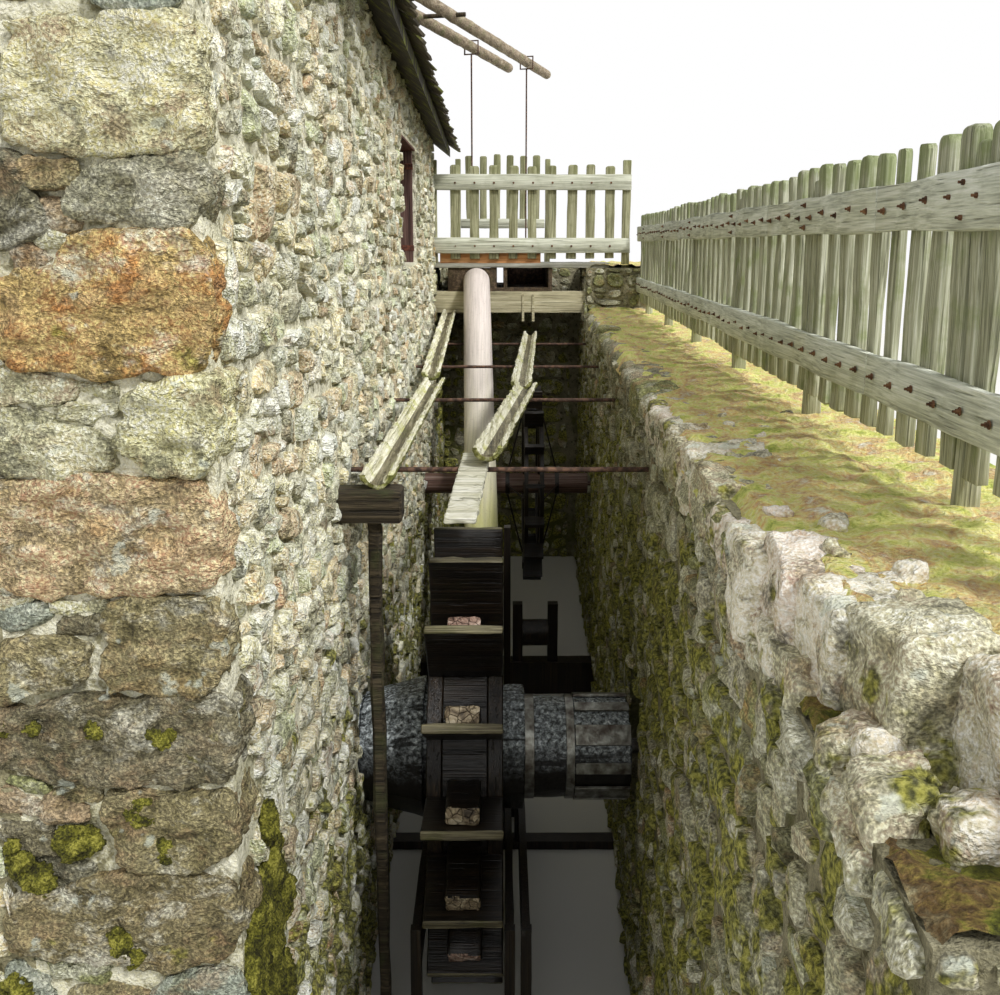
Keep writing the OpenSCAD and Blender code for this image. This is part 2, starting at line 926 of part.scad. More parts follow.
// Sill before the far wheel, with a round log between two cheeks
far_sill_w = 180;
far_sill_h = 300;
cheek_w = 90;
cheek_l = 100;
cheek_top = 840;
roller_r = 120;
roller_z = 560;
roller_reach = [20, 30];

// Block under the pipe near its lower end
saddle_y = pipe_foot_y + 280;
saddle_w = 440;
saddle_l = 180;

module race_timbers() {
    saddle_x = face_x + pipe_x + (flume_front - saddle_y) * tan(pipe_turn);
    sill_y = far_y - far_r - 110;
    stub_half = stub_w / 2;
    color("saddlebrown") {
        for (y = board_ys)
            difference() {
                block([face_x, y - sleeper_w / 2, 0], [tall / 4, y + sleeper_w / 2, sleeper_h]);
                retaining_solid();
            }
        for (x = board_xs) {
            block([x - board_t / 2, board_ys[0], board_top - board_h], [x + board_t / 2, board_ys[1], board_top]);
            for (y = board_ys)
                block([x - stub_half, y - stub_half, sleeper_h - eps], [x + stub_half, y + stub_half, board_top + 5]);
        }
        block([board_xs[1] - upright_w / 2, board_ys[1] - stub_half, board_top],
            [board_xs[1] + upright_w / 2, board_ys[1] + upright_back, upright_top]);
        difference() {
            union() {
                block([face_x, sill_y - far_sill_w / 2, 0], [tall / 4, sill_y + far_sill_w / 2, far_sill_h]);
                for (x = [far_cx - far_w / 2 - roller_reach[0] - cheek_w, far_cx + far_w / 2 + roller_reach[1]])
                    block([x, sill_y - cheek_l / 2, far_sill_h - eps], [x + cheek_w, sill_y + cheek_l / 2, cheek_top]);
                translate([far_cx - far_w / 2 - roller_reach[0] - eps, sill_y, roller_z])
                    disc_x(roller_r, far_w + roller_reach[0] + roller_reach[1] + 2 * eps);
            }
            retaining_solid();
        }
        difference() {
            block([saddle_x - saddle_w / 2, saddle_y - saddle_l / 2, 0],
                [saddle_x + saddle_w / 2, saddle_y + saddle_l / 2, pipe_z(saddle_y)]);
            pipe_path()
                circle(d = pipe_d + 2 * lay_gap);
        }
    }
}

// The mast stands in the race wall and carries the levers' pivot pin
mast_w = 140;
mast_back = 270;

module mast_post(gap) {
    half = mast_w / 2 + gap;
    translate([face_x - lever_x - mast_back * cos(lever_heading), lever_y + mast_back * sin(lever_heading), 0])
        block([-half, -half, eave_h - 500], [half, half, lever_h + 160]);
}

module pivot_frame() {
    translate([face_x - lever_x, lever_y, lever_h])
        rotate([0, 0, -lever_heading])
            children();
}

pivot_end = 130;

module lever_mast() {
    color("saddlebrown") {
        mast_post(0);
        pivot_frame()
            translate([-mast_back, 0, 0])
                disc_x(pivot_d / 2, mast_back + lever_gap + pivot_end);
    }
}

module lever(i, reach) {
    across = i * lever_gap * cos(lever_heading);
    color("tan")
        pivot_frame()
            difference() {
                translate([across, -lever_tail, 0])
                    rotate([-90, 0, 0])
                        cylinder(d = lever_d, h = lever_tail + reach);
                translate([across - lever_d, 0, 0])
                    disc_x(pivot_d / 2 + pin_fit, 2 * lever_d);
            }
}

module lever_a() {
    lever(0, lever_a_reach);
}

module lever_b() {
    lever(1, lever_b_reach);
}

// A gate board on an iron rod that hangs from its pole by a stirrup
module gate(x, y) {
    foot = flume_floor + rest_gap;
    bar = 12;
    half = lever_d / 2 + 15;
    color("firebrick")
        translate([x, y, 0]) {
            block([-gate_w / 2, -gate_t / 2, foot], [gate_w / 2, gate_t / 2, foot + gate_h]);
            translate([0, 0, foot + gate_h - 60])
                cylinder(d = gate_rod_d, h = lever_h - half - foot - gate_h + 62);
            rotate([0, 0, -lever_heading]) {
                block([-half - bar, -bar / 2, lever_h - half - bar], [half + bar, bar / 2, lever_h - half]);
                for (side = [-half - bar, half])
                    block([side, -bar / 2, lever_h - half - eps],
                        [side + bar, bar / 2, lever_h + lever_d / 2 + 0.8 + bar]);
                block([-half - bar, -bar / 2, lever_h + lever_d / 2 + 0.8],
                    [half + bar, bar / 2, lever_h + lever_d / 2 + 0.8 + bar]);
            }
        }
}

module gate_a() {
    gate(gate_a_x, gate_a_y);
}

module gate_b() {
    gate(gate_b_x, gate_b_y);
}

near_wood_from = inner_x - 130;
near_wood_to = race_right_x(0) - 50;
near_flat_r = near_seat_d / 2;
near_swell_to = near_cx - near_w / 2 - 50;
near_oct_to = near_cx + near_w / 2 + 115;

// Eight-sided log along X, of a thickness over its flats at each end
module eight_sided(from, to, from_d, to_d) {
    translate([from, 0, 0])
        rotate([22.5, 0, 0])
            rotate([0, 90, 0])
                cylinder(d1 = from_d / cos(22.5), d2 = to_d / cos(22.5), h = to - from, $fn = 8);
}

// The log is dressed to eight sides where the wheel sits, and swells from the mill's wall up to it
module near_shaft() {
    color("saddlebrown")
        translate([0, 0, near_h]) {
            translate([near_wood_from, 0, 0])
                disc_x(near_shaft_d / 2, near_wood_to - near_wood_from);
            eight_sided(face_x, near_swell_to, near_shaft_d, near_swell_d);
            eight_sided(near_swell_to - eps, near_oct_to, near_seat_d, near_seat_d);
        }
}

module ring_x(x, r, t, length) {
    translate([x, 0, 0])
        difference() {
            disc_x(r + t, length);
            translate([-eps, 0, 0])
                disc_x(r, length + 2 * eps);
        }
}

near_bands = [52, 45];
band_step = 220;
strap_count = 10;
strap_ws = [62, 110];
strap_t = 16;

// Two bands, and flat bars along the log's end that hold its iron pin
module near_shaft_irons() {
    r = near_shaft_d / 2;
    second_band = near_oct_to + band_step;
    color("dimgray")
        translate([0, 0, near_h]) {
            ring_x(near_oct_to, r + band_fit, iron_t, near_bands[0]);
            ring_x(second_band, r + band_fit, iron_t, near_bands[1]);
            for (i = [0:strap_count - 1])
                rotate([90 + i * 360 / strap_count, 0, 0])
                    block([second_band + near_bands[1] + 3, -strap_ws[i % 2] / 2, r],
                        [near_wood_to, strap_ws[i % 2] / 2, r + strap_t]);
            translate([near_inner_x - 20, 0, 0])
                disc_x(near_pin_d / 2, near_wood_from - near_inner_x + 20);
            translate([near_wood_to, 0, 0])
                disc_x(near_pin_d / 2, near_outer_x + bearing_l + 20 - near_wood_to);
        }
}

// Wheel pieces are made level, towards the front, and turned up to their places
module turned(count, phase) {
    for (i = [0:count - 1])
        rotate([-phase - i * 360 / count, 0, 0])
            children();
}

arm_w = 120;

module near_rims() {
    color("saddlebrown")
        translate([near_cx, 0, near_h])
            for (x = [-near_w / 2, near_w / 2 - near_rim_t]) {
                ring_x(x, near_rim_r - near_rim_depth, near_rim_depth, near_rim_t);
                for (a = [0:90:270])
                    rotate([a, 0, 0])
                        block([x, -arm_w / 2, near_flat_r],
                            [x + near_rim_t, arm_w / 2, near_rim_r - near_rim_depth + 10]);
            }
}

sole_t = 30;

module near_sole() {
    color("peru")
        translate([near_cx, 0, near_h])
            ring_x(-near_w / 2 + near_rim_t, near_rim_r - sole_t - 10, sole_t, near_w - 2 * near_rim_t);
}

module near_starts() {
    color("peru")
        translate([near_cx, 0, near_h])
            turned(paddle_count, near_phase)
                block([-start_w / 2, -near_r + start_back, near_paddle_t / 2],
                    [start_w / 2, -near_rim_r + 5, near_paddle_t / 2 + start_t]);
}

module near_paddles() {
    color("saddlebrown")
        translate([near_cx, 0, near_h])
            turned(paddle_count, near_phase)
                block([-near_w / 2, -near_r, -near_paddle_t / 2],
                    [near_w / 2, -near_rim_r, near_paddle_t / 2]);
}

far_wood_from = inner_x - 130;
far_wood_to = race_right_x(far_y) - 50;

module far_shaft() {
    color("sienna")
        translate([0, far_y, far_h]) {
            translate([far_wood_from, 0, 0])
                disc_x(far_shaft_d / 2, far_wood_to - far_wood_from);
            translate([far_inner_x - 20, 0, 0])
                disc_x(far_pin_d / 2, far_wood_from - far_inner_x + 20 + eps);
            translate([far_wood_to - eps, 0, 0])
                disc_x(far_pin_d / 2, far_outer_x + bearing_l + 20 - far_wood_to + eps);
        }
}

stay_out = 240;
band_w = 40;

module far_rims() {
    r = far_shaft_d / 2;
    inner = far_rim_r - far_rim_depth;
    color("dimgray")
        translate([far_cx, far_y, far_h]) {
            for (x = [-far_w / 2, far_w / 2 - far_rim_t]) {
                ring_x(x, inner, far_rim_depth, far_rim_t);
                for (a = [0:90:270])
                    rotate([a, 0, 0])
                        difference() {
                            block([x, -35, r / 2], [x + far_rim_t, 35, inner + 10]);
                            translate([x - eps, 0, 0])
                                disc_x(r, far_rim_t + 2 * eps);
                        }
            }
            for (side = [-1, 1]) {
                ring_x(side * stay_out - band_w / 2, r, iron_t, band_w);
                for (a = [0:90:270])
                    rotate([a, 0, 0])
                        between([side * stay_out, 0, r + stay_d / 2], [side * (far_w / 2 + 2), 0, inner + 40])
                            cylinder(d = stay_d, h = norm([stay_out - far_w / 2 - 2, inner + 40 - r - stay_d / 2]));
            }
        }
}

module far_paddles() {
    color("saddlebrown")
        translate([far_cx, far_y, far_h])
            turned(paddle_count, far_phase)
                block([-far_w / 2, -far_r, -far_paddle_t / 2],
                    [far_w / 2, -far_rim_r, far_paddle_t / 2]);
}

race_wall();
front_gable_wall();
back_gable_wall();
rear_wall();
mill_floor();
roof_race_slope();
roof_rear_slope();
ridge_cap();
roof_timbers();
race_shutter();
other_shutters();
rear_door();
retaining_wall();
dam_wall();
left_abutment();
bearing_piers();
shaft_bearings();
cross_beam();
flume();
footbridge_deck();
edge_board();
bridge_fence();
back_railing();
race_fence(0);  // race_fence_1
race_fence(1);  // race_fence_2
race_fence(2);  // race_fence_3
race_fence(3);  // race_fence_4
race_fence(4);  // race_fence_5
race_fence(5);  // race_fence_6
tie_rods();
penstock_pipe();
right_gutters();
left_gutters();
gutter_plank();
gutter_bracket();
race_timbers();
lever_mast();
near_shaft();
near_shaft_irons();
near_rims();
near_sole();
near_starts();
near_paddles();
far_shaft();
far_rims();
far_paddles();
lever_a();
lever_b();
gate_a();
gate_b();
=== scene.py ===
import math
import random
from functools import partial

import bpy
import numpy as np
from mathutils import Matrix, Vector


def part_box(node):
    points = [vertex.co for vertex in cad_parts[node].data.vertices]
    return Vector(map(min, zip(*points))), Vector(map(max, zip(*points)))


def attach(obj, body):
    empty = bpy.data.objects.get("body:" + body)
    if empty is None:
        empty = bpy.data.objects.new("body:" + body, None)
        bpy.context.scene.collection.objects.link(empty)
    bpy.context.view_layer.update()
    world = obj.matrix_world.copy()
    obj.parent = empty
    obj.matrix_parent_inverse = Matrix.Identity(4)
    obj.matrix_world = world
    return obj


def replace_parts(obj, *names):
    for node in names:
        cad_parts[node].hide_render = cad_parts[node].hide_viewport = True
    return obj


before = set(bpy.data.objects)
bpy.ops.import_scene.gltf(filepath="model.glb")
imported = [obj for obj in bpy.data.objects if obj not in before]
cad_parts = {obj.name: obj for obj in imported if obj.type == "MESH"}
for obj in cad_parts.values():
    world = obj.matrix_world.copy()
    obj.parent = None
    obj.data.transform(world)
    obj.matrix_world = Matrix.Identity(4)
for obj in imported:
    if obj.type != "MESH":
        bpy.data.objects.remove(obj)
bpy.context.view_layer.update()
scene = bpy.context.scene

# Places that the frame gives, in metres
wall_low, wall_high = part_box("race_wall")
FACE_X, FRONT_Y, BACK_Y = wall_high.x, wall_low.y, wall_high.y
REAR_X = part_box("rear_wall")[0].x
MILL_L, MILL_W = BACK_Y - FRONT_Y, FACE_X - REAR_X
DAM_LOW, DAM_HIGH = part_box("dam_wall")
END_Y, DAM_H = DAM_HIGH.y, DAM_HIGH.z

# The same driving sizes as the part's source, in metres and degrees
EAVE_H, ROOF_PITCH, ROOF_FALL, ROOF_T, EAVE_OUT, GABLE_OUT = 5.41, 38, 1.8, 0.07, 0.195, 0.12
RACE_W, RACE_FLARE, RETAINING_T, RETAINING_H, RETAINING_FRONT = 1.486, 1.8, 1.0, 3.25, 4.365
WINDOW_Y, WINDOW_W, WINDOW_H, SILL_H, SHUTTER_IN = 2.935, 1.6, 0.95, 3.85, 0.15
REAR_WINDOW_Y, FRAME_IN, FRAME_T = 1.4, 0.026, 0.045
BROKEN_END, LEDGE_W, LEDGE_H = -2.886, 0.33, RETAINING_H - 0.21
WHEEL, WHEEL_R, WHEEL_W, RIM_R, PADDLES, PHASE = Vector((0.874, 0, 1.314)), 1.21, 0.37, 0.8, 16, 6
PADDLE_T, START_IN = 0.045, 0.06
FAR_WHEEL = Vector((1.357, 5.065, 1.725))
PICKET_W, PICKET_T, PITCH, RAIL_H, RAIL_T, BAY, FENCE_IN = 0.105, 0.04, 0.2, 0.15, 0.04, 9, 0.557
FENCE_Y = BACK_Y + 0.08
FENCE_END = FENCE_Y - 0.06

ROOF = Matrix.Translation((0, FRONT_Y, EAVE_H)) @ Matrix.Rotation(math.radians(-ROOF_FALL), 4, "X")
RIGHT_BANK = Matrix.Translation((FACE_X + RACE_W, 0, 0)) @ Matrix.Rotation(math.radians(-RACE_FLARE), 4, "Z")


# Modelling by hand: a primitive, edit mode, then modifiers

def only(*pieces):
    bpy.ops.object.select_all(action="DESELECT")
    for piece in pieces:
        piece.select_set(True)
    bpy.context.view_layer.objects.active = pieces[0]


def cube(name, low, high):
    low, high = Vector(low), Vector(high)
    bpy.ops.object.select_all(action="DESELECT")
    bpy.ops.mesh.primitive_cube_add(size=1, location=(low + high) / 2)
    piece = bpy.context.object
    piece.name = piece.data.name = name
    piece.scale = high - low
    bpy.ops.object.transform_apply(location=True, rotation=True, scale=True)
    return piece


def rod(name, foot, head, radius, sides=24):
    """A round bar between two points."""
    foot, head = Vector(foot), Vector(head)
    bpy.ops.object.select_all(action="DESELECT")
    bpy.ops.mesh.primitive_cylinder_add(
        vertices=sides, radius=radius, depth=(head - foot).length, location=(foot + head) / 2,
        rotation=(head - foot).to_track_quat("Z", "Y").to_euler())
    piece = bpy.context.object
    piece.name = piece.data.name = name
    bpy.ops.object.transform_apply(location=True, rotation=True, scale=True)
    return piece


def edit(piece, *steps, kind="FACE", part=None):
    """Runs operators with their settings in edit mode, on all the mesh or on the faces or edges that pass a test."""
    only(piece)
    bpy.ops.object.mode_set(mode="EDIT")
    bpy.ops.mesh.select_mode(type=kind)
    bpy.ops.mesh.select_all(action="DESELECT" if part else "SELECT")
    if part:
        bpy.ops.object.mode_set(mode="OBJECT")
        for item in piece.data.edges if kind == "EDGE" else piece.data.polygons:
            item.select = part(item)
        bpy.ops.object.mode_set(mode="EDIT")
    for operator, settings in steps:
        operator(**settings)
    bpy.ops.mesh.select_mode(type="VERT")
    bpy.ops.object.mode_set(mode="OBJECT")
    return piece


def slices(piece, axis, spacing):
    """Cuts a mesh right through at even distances, so that it can bend and wear."""
    low = min(v.co[axis] for v in piece.data.vertices)
    high = max(v.co[axis] for v in piece.data.vertices)
    count = max(1, round((high - low) / spacing))
    cuts = []
    for i in range(1, count):
        point, normal = Vector(), Vector()
        point[axis], normal[axis] = low + (high - low) * i / count, 1
        cuts += [(bpy.ops.mesh.select_all, {"action": "SELECT"}),
                 (bpy.ops.mesh.bisect, {"plane_co": point, "plane_no": normal})]
    return edit(piece, *cuts)


def modify(piece, kind, **settings):
    only(piece)
    modifier = piece.modifiers.new(kind.lower(), kind)
    for name, value in settings.items():
        setattr(modifier, name, value)
    bpy.ops.object.modifier_apply(modifier=modifier.name)
    return piece


def wear(piece, depth, grain, direction="NORMAL", form="CLOUDS"):
    """Uneven wear: lumps or cleft facets about a grain across, of a depth, both in metres."""
    lumps = bpy.data.textures.new("wear", form)
    lumps.noise_scale = grain
    if form == "CLOUDS":
        lumps.noise_depth = 2
    return modify(piece, "DISPLACE", texture=lumps, strength=depth, mid_level=0.5,
                  direction=direction, texture_coords="LOCAL")


def soften(piece, width, segments=1):
    return modify(piece, "BEVEL", width=width, segments=segments, limit_method="ANGLE",
                  angle_limit=math.radians(35), harden_normals=False)


def smooth(piece, degrees=40):
    only(piece)
    bpy.ops.object.shade_smooth_by_angle(angle=math.radians(degrees))
    return piece


def placed(piece, matrix):
    piece.data.transform(matrix)
    return piece


def linked(name, mesh):
    piece = bpy.data.objects.new(name, mesh)
    scene.collection.objects.link(piece)
    return piece


def taken(blank):
    """A blank's points and faces, in place of the blank."""
    points = np.array([v.co for v in blank.data.vertices])
    faces = [list(p.vertices) for p in blank.data.polygons]
    bpy.data.objects.remove(blank)
    return points, faces


def repeated(name, points, faces):
    """One mesh of many copies of a blank, from the points of each copy."""
    count, corners = points.shape[:2]
    mesh = bpy.data.meshes.new(name)
    mesh.from_pydata(points.reshape(-1, 3).tolist(), [],
                     [[i * corners + k for k in side] for i in range(count) for side in faces])
    return linked(name, mesh)


def copies(piece, matrices):
    """Copies of the piece, each with its own mesh, joined in their places."""
    name = piece.name
    parts = [placed(linked(name, piece.data.copy()), matrix) for matrix in matrices]
    bpy.data.objects.remove(piece)
    return joined(name, parts)


def joined(name, parts):
    only(*parts)
    if len(parts) > 1:
        bpy.ops.object.join()
    piece = bpy.context.view_layer.objects.active
    piece.name = piece.data.name = name
    return piece


def dressed(node, name, finishes, bevel=0.004, cuts=((0, 0.15), (1, 0.15), (2, 0.15)), depth=0.006, grain=0.1,
            choose=None):
    """A worn copy of a CAD node: merged, edges broken, cut across, painted and made uneven."""
    piece = linked(name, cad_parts[node].data.copy())
    edit(piece, (bpy.ops.mesh.customdata_custom_splitnormals_clear, {}),
         (bpy.ops.mesh.remove_doubles, {"threshold": 1e-5}),
         (bpy.ops.mesh.dissolve_limited, {"angle_limit": math.radians(1)}))
    if bevel:
        soften(piece, bevel)
    for axis, spacing in cuts:
        slices(piece, axis, spacing)
    paint(piece, *(finishes if isinstance(finishes, tuple) else (finishes,)))
    if choose:
        choose(piece)
    if depth:
        modify(piece, "TRIANGULATE")
        wear(piece, depth, grain)
    smooth(piece)
    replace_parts(piece, node)
    return piece


def paint(piece, *finishes):
    piece.data.materials.clear()
    for finish in finishes:
        piece.data.materials.append(finish)
    return piece


def keep(piece, body):
    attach(piece, body)
    return piece


def toned(piece, **values):
    """Writes a stone's tone and its share of rust stain where its material reads them."""
    for name, value in values.items():
        layer = piece.data.attributes.new(name, "FLOAT", "POINT")
        layer.data.foreach_set("value", np.broadcast_to(np.float32(value), len(piece.data.vertices)).copy())
    return piece


# Colours and nodes

def linear(code):
    """A colour written as sRGB hex, as the linear colour that nodes take."""
    parts = [int(code[i:i + 2], 16) / 255 for i in (1, 3, 5)]
    return [c / 12.92 if c <= 0.04045 else ((c + 0.055) / 1.055) ** 2.4 for c in parts] + [1.0]


def add_node(tree, kind, inputs=None, out=0, stops=None, **settings):
    """Adds a node with its settings, values and links and a ramp's stops, and gives the output asked for."""
    node = tree.nodes.new("ShaderNode" + kind)
    for name, value in settings.items():
        setattr(node, name, value)
    for name, value in (inputs or {}).items():
        if isinstance(value, bpy.types.NodeSocket):
            tree.links.new(value, node.inputs[name])
        else:
            node.inputs[name].default_value = linear(value) if isinstance(value, str) else value
    if stops:
        elements = node.color_ramp.elements
        while len(elements) < len(stops):
            elements.new(0.5)
        for element, (place, code) in zip(elements, stops):
            element.position = place
            element.color = linear(code)
    return node.outputs[out] if node.outputs else node


def laid(add, colour, over, pattern, start, full, most=1.0, blend="MIX"):
    """Another colour laid over the first, from none to the most, as a pattern goes from one value to another."""
    share = add("MapRange", {"Value": pattern, "From Min": start, "From Max": full, "To Max": most})
    return add("MixRGB", {"Fac": share, "Color1": colour, "Color2": over}, blend_type=blend)


def shaded(add, colour, pattern, share, blend, stops):
    """A colour multiplied or overlaid by a share of a pattern's tones."""
    tones = add("ValToRGB", {"Fac": pattern}, stops=stops)
    return add("MixRGB", {"Fac": share, "Color1": colour, "Color2": tones}, blend_type=blend)


def by_height(add, here, pattern, start, full, most):
    """A pattern that gains up to the most between two heights."""
    height = add("SeparateXYZ", {"Vector": here}, out="Z")
    gain = add("MapRange", {"Value": height, "From Min": start, "From Max": full, "To Max": most})
    return add("Math", {0: pattern, 1: gain}, operation="ADD")


def started(name):
    """A new material, the function that adds its nodes, and the place on the piece, in metres."""
    material = bpy.data.materials.new(name)
    material.use_nodes = True
    material.node_tree.nodes.clear()
    add = partial(add_node, material.node_tree)
    return material, add, add("TexCoord", out="Object")


def finished(material, colour, roughness, relief, depth, metallic=0.0):
    """The shader of a material. The relief is a height from 0 to 1, of a depth in metres."""
    add = partial(add_node, material.node_tree)
    normal = add("Bump", {"Height": relief, "Distance": depth, "Strength": 1.0})
    shader = add("BsdfPrincipled", {
        "Base Color": colour, "Roughness": roughness, "Metallic": metallic, "Specular IOR Level": 0.3,
        "Normal": normal})
    add("OutputMaterial", {"Surface": shader})
    return material


# Materials

def even_stops(codes):
    return [(i / len(codes), code) for i, code in enumerate(codes)]


RUBBLE_TONES = ["#fbf8e0", "#e6e5d2", "#fdfae0", "#e0dfc6", "#eee1c0", "#f2f2e2", "#fefbe8", "#d8d9c8", "#e4d4b6",
                "#f4eccd", "#dadebf", "#f0e9d0", "#c6c3ac", "#f6f6ea"]
# Darker tones for the bank and dam walls: damp stone, and also painted shade for walls that stand in shadow.
DAMP_SHADED_TONES = ["#b3b096", "#98967c", "#c1bea4", "#8d8b6c", "#aaa590", "#c8c6b2", "#98996c"]
# In the order that the corner stones name them: buff, purple-grey, orange, pale buff, pinkish, brown-buff,
# grey-brown, granular brown, pale chips, dark, reddish, blue-grey, green slips
CORNER_TONES = ["#e2ddba", "#a8a58e", "#cdb27a", "#e4e0ba", "#d2bd98", "#998f6c", "#878068", "#908564", "#d6d3b6",
                "#817d68", "#b09c7e", "#a9afa0", "#96986a"]


def rubble_granite(name, tones, moss_from, moss_to, moss_share, relief_depth=0.03):
    """Split granite and gneiss, left rough: each stone has a tone of its own, with layers a few centimetres thick,
    mineral grain of 2 to 6 mm drawn at 9 mm, rust stains, pale lichen, and moss that thickens down the wall."""
    material, add, here = started(name)
    own = add("ValToRGB", {"Fac": add("Attribute", out="Fac", attribute_name="tone")},
              stops=even_stops(tones))
    own.node.color_ramp.interpolation = "CONSTANT"
    mottle = add("TexNoise", {"Vector": here, "Scale": 8.0, "Detail": 5, "Roughness": 0.65, "Distortion": 0.7})
    flat = add("Mapping", {"Vector": here, "Rotation": (0.1, 0.35, 0), "Scale": (1, 1, 1.5)})
    layers = add("TexNoise", {"Vector": flat, "Scale": 7.0, "Detail": 5, "Roughness": 0.72, "Distortion": 0.25})
    grain = add("TexNoise", {"Vector": here, "Scale": 110.0, "Detail": 2})
    colour = shaded(add, own, mottle, 0.65, "MULTIPLY", [
        (0.34, "#6f6e5c"), (0.42, "#c8c6b2"), (0.49, "#ffffff"), (0.70, "#ffffff")])
    colour = shaded(add, colour, layers, 0.6, "MULTIPLY", [(0.35, "#5f5e54"), (0.42, "#cfcec0"), (0.50, "#ffffff")])
    rust = add("MapRange", {"Value": layers, "From Min": 0.50, "From Max": 0.62})
    share = add("Attribute", out="Fac", attribute_name="stain")
    rust = add("Math", {0: rust, 1: share}, operation="MULTIPLY")
    colour = add("MixRGB", {"Fac": rust, "Color1": colour, "Color2": "#b98550"})
    minerals = add("TexNoise", {"Vector": flat, "Scale": 4.5, "Detail": 5, "Roughness": 0.74})
    colour = laid(add, colour, "#e4e2d2", minerals, 0.53, 0.64, 0.55)
    colour = laid(add, colour, "#a38767", minerals, 0.46, 0.36, 0.5)
    colour = shaded(add, colour, grain, 0.6, "OVERLAY", [(0.34, "#62625d"), (0.5, "#a9a9a7"), (0.64, "#f4f4ee")])
    lichen = add("TexNoise", {"Vector": here, "Scale": 9.0, "Detail": 3, "Roughness": 0.55})
    colour = laid(add, colour, "#cfd6c6", lichen, 0.64, 0.67, 0.5)
    tufts = add("TexNoise", {"Vector": here, "Scale": 5.0, "Detail": 4, "Roughness": 0.65})
    moss = by_height(add, here, tufts, moss_to, moss_from, 0.22)
    fine = add("TexNoise", {"Vector": here, "Scale": 55.0, "Detail": 4})
    green = add("ValToRGB", {"Fac": fine}, stops=[(0.38, "#3e3f14"), (0.5, "#77762a"), (0.62, "#a6a247")])
    colour = laid(add, colour, green, moss, 0.66, 0.72, moss_share)
    rough = add("Math", {0: mottle, 1: 1.1, 2: layers}, operation="MULTIPLY_ADD")
    rough = add("Math", {0: grain, 1: 0.12, 2: rough}, operation="MULTIPLY_ADD")
    return finished(material, colour, 0.93, rough, relief_depth)


def lime_mortar(name, pale, dark, moss_share):
    """Old lime mortar with coarse sand, washed out between the stones: chalky, pitted, with painted shade in its pits,
    dirtier low down.
    """
    material, add, here = started(name)
    dirt = add("TexNoise", {"Vector": here, "Scale": 3.3, "Detail": 7, "Roughness": 0.6})
    dirt = by_height(add, here, dirt, 3.2, 0.6, 0.25)
    colour = laid(add, pale, dark, dirt, 0.46, 0.8)
    sand = add("TexNoise", {"Vector": here, "Scale": 120.0, "Detail": 4})
    colour = shaded(add, colour, sand, 0.35, "OVERLAY", [(0.34, "#7c7a70"), (0.5, "#bcbcb8"), (0.68, "#f6f4ea")])
    lumps = add("TexNoise", {"Vector": here, "Scale": 20.0, "Detail": 6, "Roughness": 0.6})
    # Painted shade: the mortar is darkened in patches where the lumps are low, as shadow in its pits.
    colour = laid(add, colour, "#8b866c", lumps, 0.46, 0.36, 0.85, "MULTIPLY")
    colour = laid(add, colour, "#5b5f26", dirt, 0.66, 0.8, moss_share)
    rough = add("Math", {0: sand, 1: 0.15, 2: lumps}, operation="MULTIPLY_ADD")
    return finished(material, colour, 0.96, rough, 0.05)


def moss_cover(name, tones):
    """Dry moss and litter over masonry: patches of several tones from noise, soft and matt."""
    material, add, here = started(name)
    patches = add("TexNoise", {"Vector": here, "Scale": 7.0, "Detail": 9, "Roughness": 0.68, "Distortion": 0.3})
    colour = add("ValToRGB", {"Fac": patches}, stops=list(zip((0.34, 0.42, 0.48, 0.54, 0.60, 0.68), tones)))
    tufts = add("TexNoise", {"Vector": here, "Scale": 70.0, "Detail": 6, "Roughness": 0.6})
    colour = shaded(add, colour, tufts, 0.5, "OVERLAY", [(0.36, "#6e6a54"), (0.5, "#bcbcb0"), (0.64, "#fbfae8")])
    lumps = add("TexNoise", {"Vector": here, "Scale": 20.0, "Detail": 5})
    rough = add("Math", {0: lumps, 1: tufts}, operation="ADD")
    return finished(material, colour, 1.0, rough, 0.03)


def cushion_moss():
    """Green cushion moss: short upright shoots a millimetre wide, drawn at four, bright at their tips."""
    material, add, here = started("cushion_moss")
    shoots = add("TexNoise", {"Vector": here, "Scale": 130.0, "Detail": 3, "Roughness": 0.6})
    wide = add("TexNoise", {"Vector": here, "Scale": 22.0, "Detail": 4})
    mixed = add("Math", {0: shoots, 1: wide}, operation="ADD")
    colour = add("ValToRGB", {"Fac": add("Math", {0: mixed, 1: 0.5}, operation="MULTIPLY")}, stops=[
        (0.38, "#29270c"), (0.46, "#4f4e18"), (0.53, "#747227"), (0.62, "#a9a34b")])
    return finished(material, colour, 0.95, shoots, 0.014)


def split_slate(name):
    """Hand-split schist slates, dark and slightly warm, with moss in cushions along their edges."""
    material, add, here = started(name)
    colour = add("ValToRGB", {"Fac": add("Attribute", out="Fac", attribute_name="tone")}, stops=[
        (0.0, "#4a463f"), (0.35, "#5e594f"), (0.7, "#6f6858"), (1.0, "#564a40")])
    stained = add("TexNoise", {"Vector": here, "Scale": 20.0, "Detail": 6, "Roughness": 0.6})
    colour = shaded(add, colour, stained, 0.6, "MULTIPLY", [(0.35, "#6a665c"), (0.6, "#eae6dc")])
    tufts = add("TexNoise", {"Vector": here, "Scale": 7.5, "Detail": 7, "Roughness": 0.6})
    fine = add("TexNoise", {"Vector": here, "Scale": 50.0, "Detail": 3})
    green = add("MixRGB", {"Fac": fine, "Color1": "#3f461c", "Color2": "#8c8f42"})
    colour = laid(add, colour, green, tufts, 0.53, 0.62)
    return finished(material, colour, 0.85, stained, 0.012)


